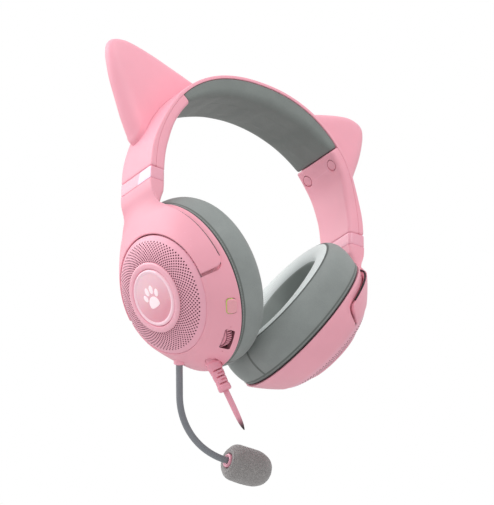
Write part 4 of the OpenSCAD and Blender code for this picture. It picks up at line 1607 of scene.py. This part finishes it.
def make_wheel():
    teeth = 40
    n = teeth * 8
    a = np.arange(n) * 2 * math.pi / n
    # rounded ribs round the rim
    w = 0.5 + 0.5 * np.cos(a * teeth)
    rib = 8.42 + 0.56 * np.clip(w * 1.5, 0, 1) ** 0.8
    rings = []
    for z, ins in ((-13.48, 1.1), (-13.48, 0.55), (-13.35, 0.2), (-13.05, 0.0), (-12.4, 0.0), (-11.5, 0.0), (-10.6, 0.0), (-9.95, 0.0), (-9.65, 0.2), (-9.52, 0.55), (-9.52, 1.1)):
        if ins > 0.9:
            r = np.full(n, 8.0)
        else:
            r = np.maximum(rib - ins, 8.1 if ins < 0.5 else 8.05)
        rings.append(np.stack([37.4 + r * np.cos(a), r * np.sin(a), np.full(n, z)], 1))
    hub = []
    for r, z in ((5.5, -9.52), (5.3, -9.9), (2.4, -9.9), (2.2, -9.52), (1.06, -9.52), (1.06, -13.48), (5.5, -13.48)):
        hub.append(np.stack([37.4 + r * np.cos(a), r * np.sin(a), np.full(n, z)], 1))
    v, f = loft(rings + hub, close_r=True)
    ob = build("volume_wheel_knurled", CUP(rotz(v, -63.0)), f, plastic("wheel_plastic", (246, 166, 184), 0.42, 0.6, bevel=0.0), "volume_wheel", ["volume_wheel"], 40)
    me = ob.data
    # the valleys between the ribs take the darker pink: painted shade
    me.materials.append(M["bore"])
    q = rotz(local_cup(face_centres(me), 1), 63.0) - np.array([37.4, 0, 0])
    r = np.hypot(q[:, 0], q[:, 1])
    me.polygons.foreach_set("material_index", ((r > 8.0) & (r < 8.78)).astype(np.int32))


make_button()
make_wheel()


def make_marks():
    """Two raised dots beside the wheel slot: louder and quieter."""
    for i, (t, r) in enumerate(((-9.0, 0.42), (8.7, 0.34))):
        ang = math.radians(-63.0)
        z = -11.5
        # where the wall is, beside the slot
        a, b = wall_ab(z)
        base = rotz([[40.0, t, z]], -63.0)[0]
        d = np.array([math.cos(ang), math.sin(ang)])
        k = np.linspace(0, 12, 600)
        q = base[:2][None] + k[:, None] * d
        e = np.hypot(q[:, 0] / a, q[:, 1] / b)
        x = 40.0 + float(k[np.argmin(np.abs(e - 1))])
        v, f = revolve([(0.01, -0.3), (r, -0.3), (r, 0.02), (r * 0.75, 0.13), (0.01, 0.16)], 20, closed=False)
        nx = np.array([1.0, 0.0, 0.45])
        nx /= np.linalg.norm(nx)
        ay = np.array([0, 1.0, 0])
        az = np.cross(nx, ay)
        p = np.array([x, t, z]) + v[:, :1] * ay + v[:, 1:2] * az + v[:, 2:3] * nx
        build(f"volume_mark_{i + 1}", CUP(rotz(p, -63.0)), f, M["pink_in"], "cup_left", (), 40)


make_marks()


# ------------------------------------------------------------------ cable and strain relief
def make_cable():
    def down(v):
        """local frame of the cable: x stays, the second axis runs down the cup."""
        v = np.array(v, float)
        return CUP(np.stack([v[:, 0], -v[:, 2], -12.1 + v[:, 1]], 1))

    prof = [(1.52, 40.5), (5.0, 40.5), (5.0, 42.4), (3.5, 42.4), (3.5, 45.6), (3.9, 46.3), (4.35, 47.0), (4.62, 47.5), (4.55, 48.1), (4.35, 49.4), (4.12, 51.2), (3.95, 53.5), (3.8, 56.0), (3.7, 58.5), (3.62, 60.6),
            (3.62, 61.0), (3.85, 61.4), (3.92, 62.2), (3.9, 63.8), (3.7, 64.3), (3.25, 64.58), (2.6, 64.62), (1.52, 64.62)]
    v, f = revolve(prof, 72)
    ob = solid_tmp("strain_relief_sleeve", down(v), f)
    cut = []
    for i in range(5):
        z = 51.6 + i * 2.05
        o = rpoly([(2.35 if i % 2 == 0 else 1.5, z), (7, z), (7, z + 0.95), (2.35 if i % 2 == 0 else 1.5, z + 0.95)], [0.4, 0.1, 0.1, 0.4], 4)
        for sg in (1, -1):
            x0 = 1.3 if (i % 2 == 0) == (sg > 0) else 2.6
            o = rpoly([(x0, z), (7, z), (7, z + 0.95), (x0, z + 0.95)], [0.4, 0.1, 0.1, 0.4], 4)
            rings = [np.stack([o[:, 0] * sg, np.full(len(o), y), o[:, 1]], 1) for y in (-6, 6)]
            cv, cf = loft(rings)
            cut.append(solid_tmp("c", down(cv), cf))
    boolean(ob, cut)
    finish_piece(ob, M["cable"], "cup_left", ["strain_relief"], 34)
    m = 28
    a = np.arange(m) * 2 * math.pi / m
    rings = []
    for z, r in [(41.0, 1.5), (50, 1.5), (58, 1.5), (64.6, 1.52), (64.75, 1.68), (66, 1.7), (69, 1.7), (72, 1.7), (75, 1.69), (78, 1.66), (80.5, 1.6), (83, 1.48), (85, 1.3), (86.6, 1.08), (88.0, 0.78), (89.0, 0.48), (89.6, 0.22), (89.8, 0.05)]:
        rings.append(np.stack([r * np.cos(a), r * np.sin(a), np.full(m, z)], 1))
    v, f = loft(rings)
    n = N("cable_jacket")
    base = lin(240, 164, 182)
    fine = n.noise(1800, 3)
    pos = n.position((-ST, 0.0, -CT))
    z0 = float(down([[0, 0, 0]])[0] @ np.array([-ST, 0.0, -CT]))
    tip = n.range(pos, z0 + 0.0805, z0 + 0.0885, 0, 1, True)
    col = n.mix(n.range(fine, 0.3, 0.7, 0, 1), tuple(c * 0.94 for c in base), base)
    col = n.mix(tip, col, lin(58, 44, 48))
    n.set(color=col, rough=n.range(fine, 0.3, 0.7, 0.42, 0.52), normal=n.bump(fine, 0.2, 0.00006), sss=0.05, sss_scale=0.001)
    build("cable_jacket", down(v), f, n.mat, "cup_left", ["cable"], 40)


make_cable()


# ------------------------------------------------------------------ microphone
M_R, M_S, M_A, M_J = 48.7, 21.0, 66.0, 50.0


def boom_point(sv):
    """Point and direction on the boom's centre line at arc length sv from the cup; sv may be negative inside it."""
    if sv <= M_S:
        return np.array([0, sv, 0.0]), np.array([0, 1.0, 0])
    a = (sv - M_S) / M_R
    return np.array([M_R - M_R * math.cos(a), M_S + M_R * math.sin(a), 0.0]), np.array([math.sin(a), math.cos(a), 0])


def make_mic():
    L = M_S + math.radians(M_A) * M_R
    m = 28
    rings = []
    st = [(-15.0, 1.6), (-14.8, 1.9)] + [(x, 2.0) for x in np.linspace(-14, L - 0.6, 120)] + [(L, 1.98), (L + 1.6, 1.96), (L + 2.2, 1.7)]
    for sv, r in st:
        c, t = boom_point(min(sv, L))
        c = c + t * max(0.0, sv - L)
        nrm = np.array([t[1], -t[0], 0])
        up = np.array([0, 0, 1.0])
        a = np.arange(m) * 2 * math.pi / m
        rings.append(c + r * (np.cos(a)[:, None] * nrm + np.sin(a)[:, None] * up))
    v, f = loft(rings)
    ob = build("mic_boom_skin", MIC(v), f, M["boom"], None, ["mic_boom", "mic_tip"], 40)
    sj = M_S + math.radians(M_J) * M_R
    p0, t0 = boom_point(sj - 4.5)
    p1, t1 = boom_point(sj + 4.5)
    pj, tj = boom_point(sj)
    Vector(MIC([pj - tj * 4.5])[0])
    Vector(MIC([pj + tj * 4.5])[0])
    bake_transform(ob)
    # the capsule end: local z runs on along the boom
    pe, te = boom_point(L)
    ne = np.array([te[1], -te[0], 0])
    ue = np.array([0, 0, 1.0])

    def tipf(v):
        v = np.array(v, float)
        return MIC(pe + v[:, :1] * ne + v[:, 1:2] * ue + v[:, 2:3] * te)

    prof = [(2.05, 1.1), (2.35, 1.0), (2.75, 0.7), (3.0, 0.25), (3.25, 0.06), (3.6, 0.1), (3.9, 0.3), (4.08, 0.65), (4.1, 1.1), (4.1, 2.9), (4.0, 3.0), (2.05, 3.0)]
    v, f = revolve(prof, 64)
    build("mic_collar_ring", tipf(v), f, M["gloss_plain"], "mic_tip", ["mic_collar"], 40)
    # foam: a lathe with a rolled mouth, then gently irregular and finely pitted
    R, Ls = 11.0, 29.0
    pts = [(4.75, 11.0), (4.75, 8.0), (4.7, 5.0), (4.65, 3.2), (4.6, 2.2), (4.75, 1.45), (5.15, 1.0), (5.8, 0.82), (6.8, 0.82), (7.8, 0.9)]
    for a in np.linspace(-70, 0, 10):
        pts.append((R - 5.2 + 5.05 * math.cos(math.radians(a)), 6.6 + 5.65 * math.sin(math.radians(a))))
    for z in np.linspace(7.6, 16.0, 8):
        pts.append((R - 0.15 + 0.1 * math.sin((z - 6.6) / 9.8 * math.pi), z))
    for a in np.linspace(4, 86, 18):
        pts.append((10.85 * math.cos(math.radians(a)) ** 0.66, 17.0 + 11.9 * math.sin(math.radians(a))))
    pts += [(0.6, Ls - 0.1), (0.01, Ls - 0.1)]
    pts = pts + [(0.01, 11.25), (2.2, 11.25), (4.2, 11.22)]
    # split: outer skin from mouth to tip, inner bore closed behind the capsule
    v, f = revolve(pts, 120, closed=False)
    nr = len(pts)
    ring0 = 0
    # join the last ring to the first instead of capping them
    nn = 120
    v = v[: nr * nn]
    f = [q for q in f if len(q) == 4]
    for j in range(nn):
        f.append(((nr - 1) * nn + j, (nr - 1) * nn + (j + 1) % nn, (j + 1) % nn, j))
    ph = np.arctan2(v[:, 1], v[:, 0])
    z = v[:, 2]
    r = np.hypot(v[:, 0], v[:, 1])
    wob = 0.10 * np.sin(3 * ph + z * 0.21) + 0.07 * np.sin(5 * ph - z * 0.37 + 1.3) + 0.05 * np.sin(2 * ph + 0.7)
    k = np.where(r > 6, 1 + wob / np.maximum(r, 1) * np.clip((r - 6) / 4, 0, 1), 1.0)
    v = np.stack([v[:, 0] * k, v[:, 1] * k, z], 1)
    ob = build("mic_windscreen_foam", tipf(v), f, M["foam"], None, (), 0)
    sub = ob.modifiers.new("s", "SUBSURF")
    sub.levels = sub.render_levels = 1
    apply_mods(ob)
    me = ob.data
    co = vcoords(me)
    nm = np.zeros(len(me.vertices) * 3, np.float32)
    me.vertices.foreach_get("normal", nm)
    nm = nm.reshape(-1, 3)
    # open-cell pitting: a fixed sum of short waves stands in for noise, so every run is the same
    q = co * 1000.0
    g = np.zeros(len(co))
    rng = np.random.RandomState(7)
    for _ in range(22):
        d = rng.normal(size=3)
        d /= np.linalg.norm(d)
        g += np.sin(q @ d * rng.uniform(2.6, 6.5) + rng.uniform(0, 6.28))
    g /= math.sqrt(22)
    set_coords(me, co + nm * (np.clip(g, -1.6, 1.2) * 0.00007)[:, None])
    finish_piece(ob, M["foam"], "mic_tip", ["windscreen"], 0)


make_mic()


# ------------------------------------------------------------------ floor, light, camera
def make_stage():
    n = N("studio_floor")
    f = n.noise(3, 4)
    n.set(color=n.mix(f, (0.80, 0.80, 0.80), (0.84, 0.84, 0.84)), rough=0.7, normal=n.bump(n.noise(300, 3), 0.05, 0.001))
    me = bpy.data.meshes.new("studio_floor")
    bm = bmesh.new()
    bmesh.ops.create_grid(bm, x_segments=8, y_segments=8, size=14.0)
    bm.to_mesh(me)
    bm.free()
    me.materials.append(n.mat)
    ob = bpy.data.objects.new("studio_floor", me)
    ob.location = (0, 0, -1.6)
    SCN.collection.objects.link(ob)


make_stage()

world = bpy.data.worlds.new("studio")
SCN.world = world
world.use_nodes = True
wt = world.node_tree
wt.nodes.clear()
wo = wt.nodes.new("ShaderNodeOutputWorld")
bg_cam = wt.nodes.new("ShaderNodeBackground")
bg_cam.inputs[0].default_value = (1, 1, 1, 1)
bg_cam.inputs[1].default_value = 1.0
bg_lit = wt.nodes.new("ShaderNodeBackground")
tc = wt.nodes.new("ShaderNodeTexCoord")
sep = wt.nodes.new("ShaderNodeSeparateXYZ")
wt.links.new(tc.outputs["Generated"], sep.inputs[0])
mr = wt.nodes.new("ShaderNodeMapRange")
mr.interpolation_type = "SMOOTHSTEP"
mr.inputs["From Min"].default_value = -0.9
mr.inputs["From Max"].default_value = 0.9
mr.inputs["To Min"].default_value = 0.31
mr.inputs["To Max"].default_value = 0.84
wt.links.new(sep.outputs["Z"], mr.inputs["Value"])
bg_lit.inputs[0].default_value = (1, 1, 1, 1)
wt.links.new(mr.outputs["Result"], bg_lit.inputs[1])
lp = wt.nodes.new("ShaderNodeLightPath")
mx = wt.nodes.new("ShaderNodeMixShader")
wt.links.new(lp.outputs["Is Camera Ray"], mx.inputs[0])
wt.links.new(bg_lit.outputs[0], mx.inputs[1])
wt.links.new(bg_cam.outputs[0], mx.inputs[2])
wt.links.new(mx.outputs[0], wo.inputs[0])

CEN = (Vector(CAD_LO) + Vector(CAD_HI)) / 2


def area(name, direction, dist, size, power, col=(1, 1, 1)):
    li = bpy.data.lights.new(name, "AREA")
    li.shape = "RECTANGLE"
    li.size, li.size_y = size
    li.energy = power
    li.color = col
    ob = bpy.data.objects.new(name, li)
    d = Vector(direction).normalized()
    ob.location = CEN + d * dist
    ob.rotation_euler = (-d).to_track_quat("-Z", "Y").to_euler()
    SCN.collection.objects.link(ob)
    return ob


area("key", (0.80, -0.30, 0.52), 1.5, (1.1, 1.1), 11.0)
area("softbox", (0.51, -0.73, 0.47), 1.6, (0.5, 1.2), 2.5)
area("fill", (0.10, 0.43, 0.37), 0.58, (0.4, 0.4), 0.85)

cam = bpy.data.cameras.new("camera")
co_ = bpy.data.objects.new("camera", cam)
SCN.collection.objects.link(co_)
az, el = math.radians(144.95), math.radians(-27.65)
back = Vector((math.sin(az) * math.cos(el), -math.cos(az) * math.cos(el), math.sin(el)))
right = Vector((math.cos(az), math.sin(az), 0))
up = back.cross(right)
target = Vector((0, 0, (50 - Z0) / 1000)) + right * 0.00188 + up * 0.04255
co_.location = target + back * 2.536
co_.rotation_euler = (-back).to_track_quat("-Z", "Y").to_euler()
cam.lens = 318.2
cam.sensor_width = 36.0
cam.sensor_fit = "HORIZONTAL"
cam.clip_start, cam.clip_end = 0.05, 60
SCN.camera = co_
SCN.view_settings.view_transform = "Standard"
SCN.view_settings.look = "None"
SCN.view_settings.exposure = 0.0
SCN.view_settings.gamma = 1.0
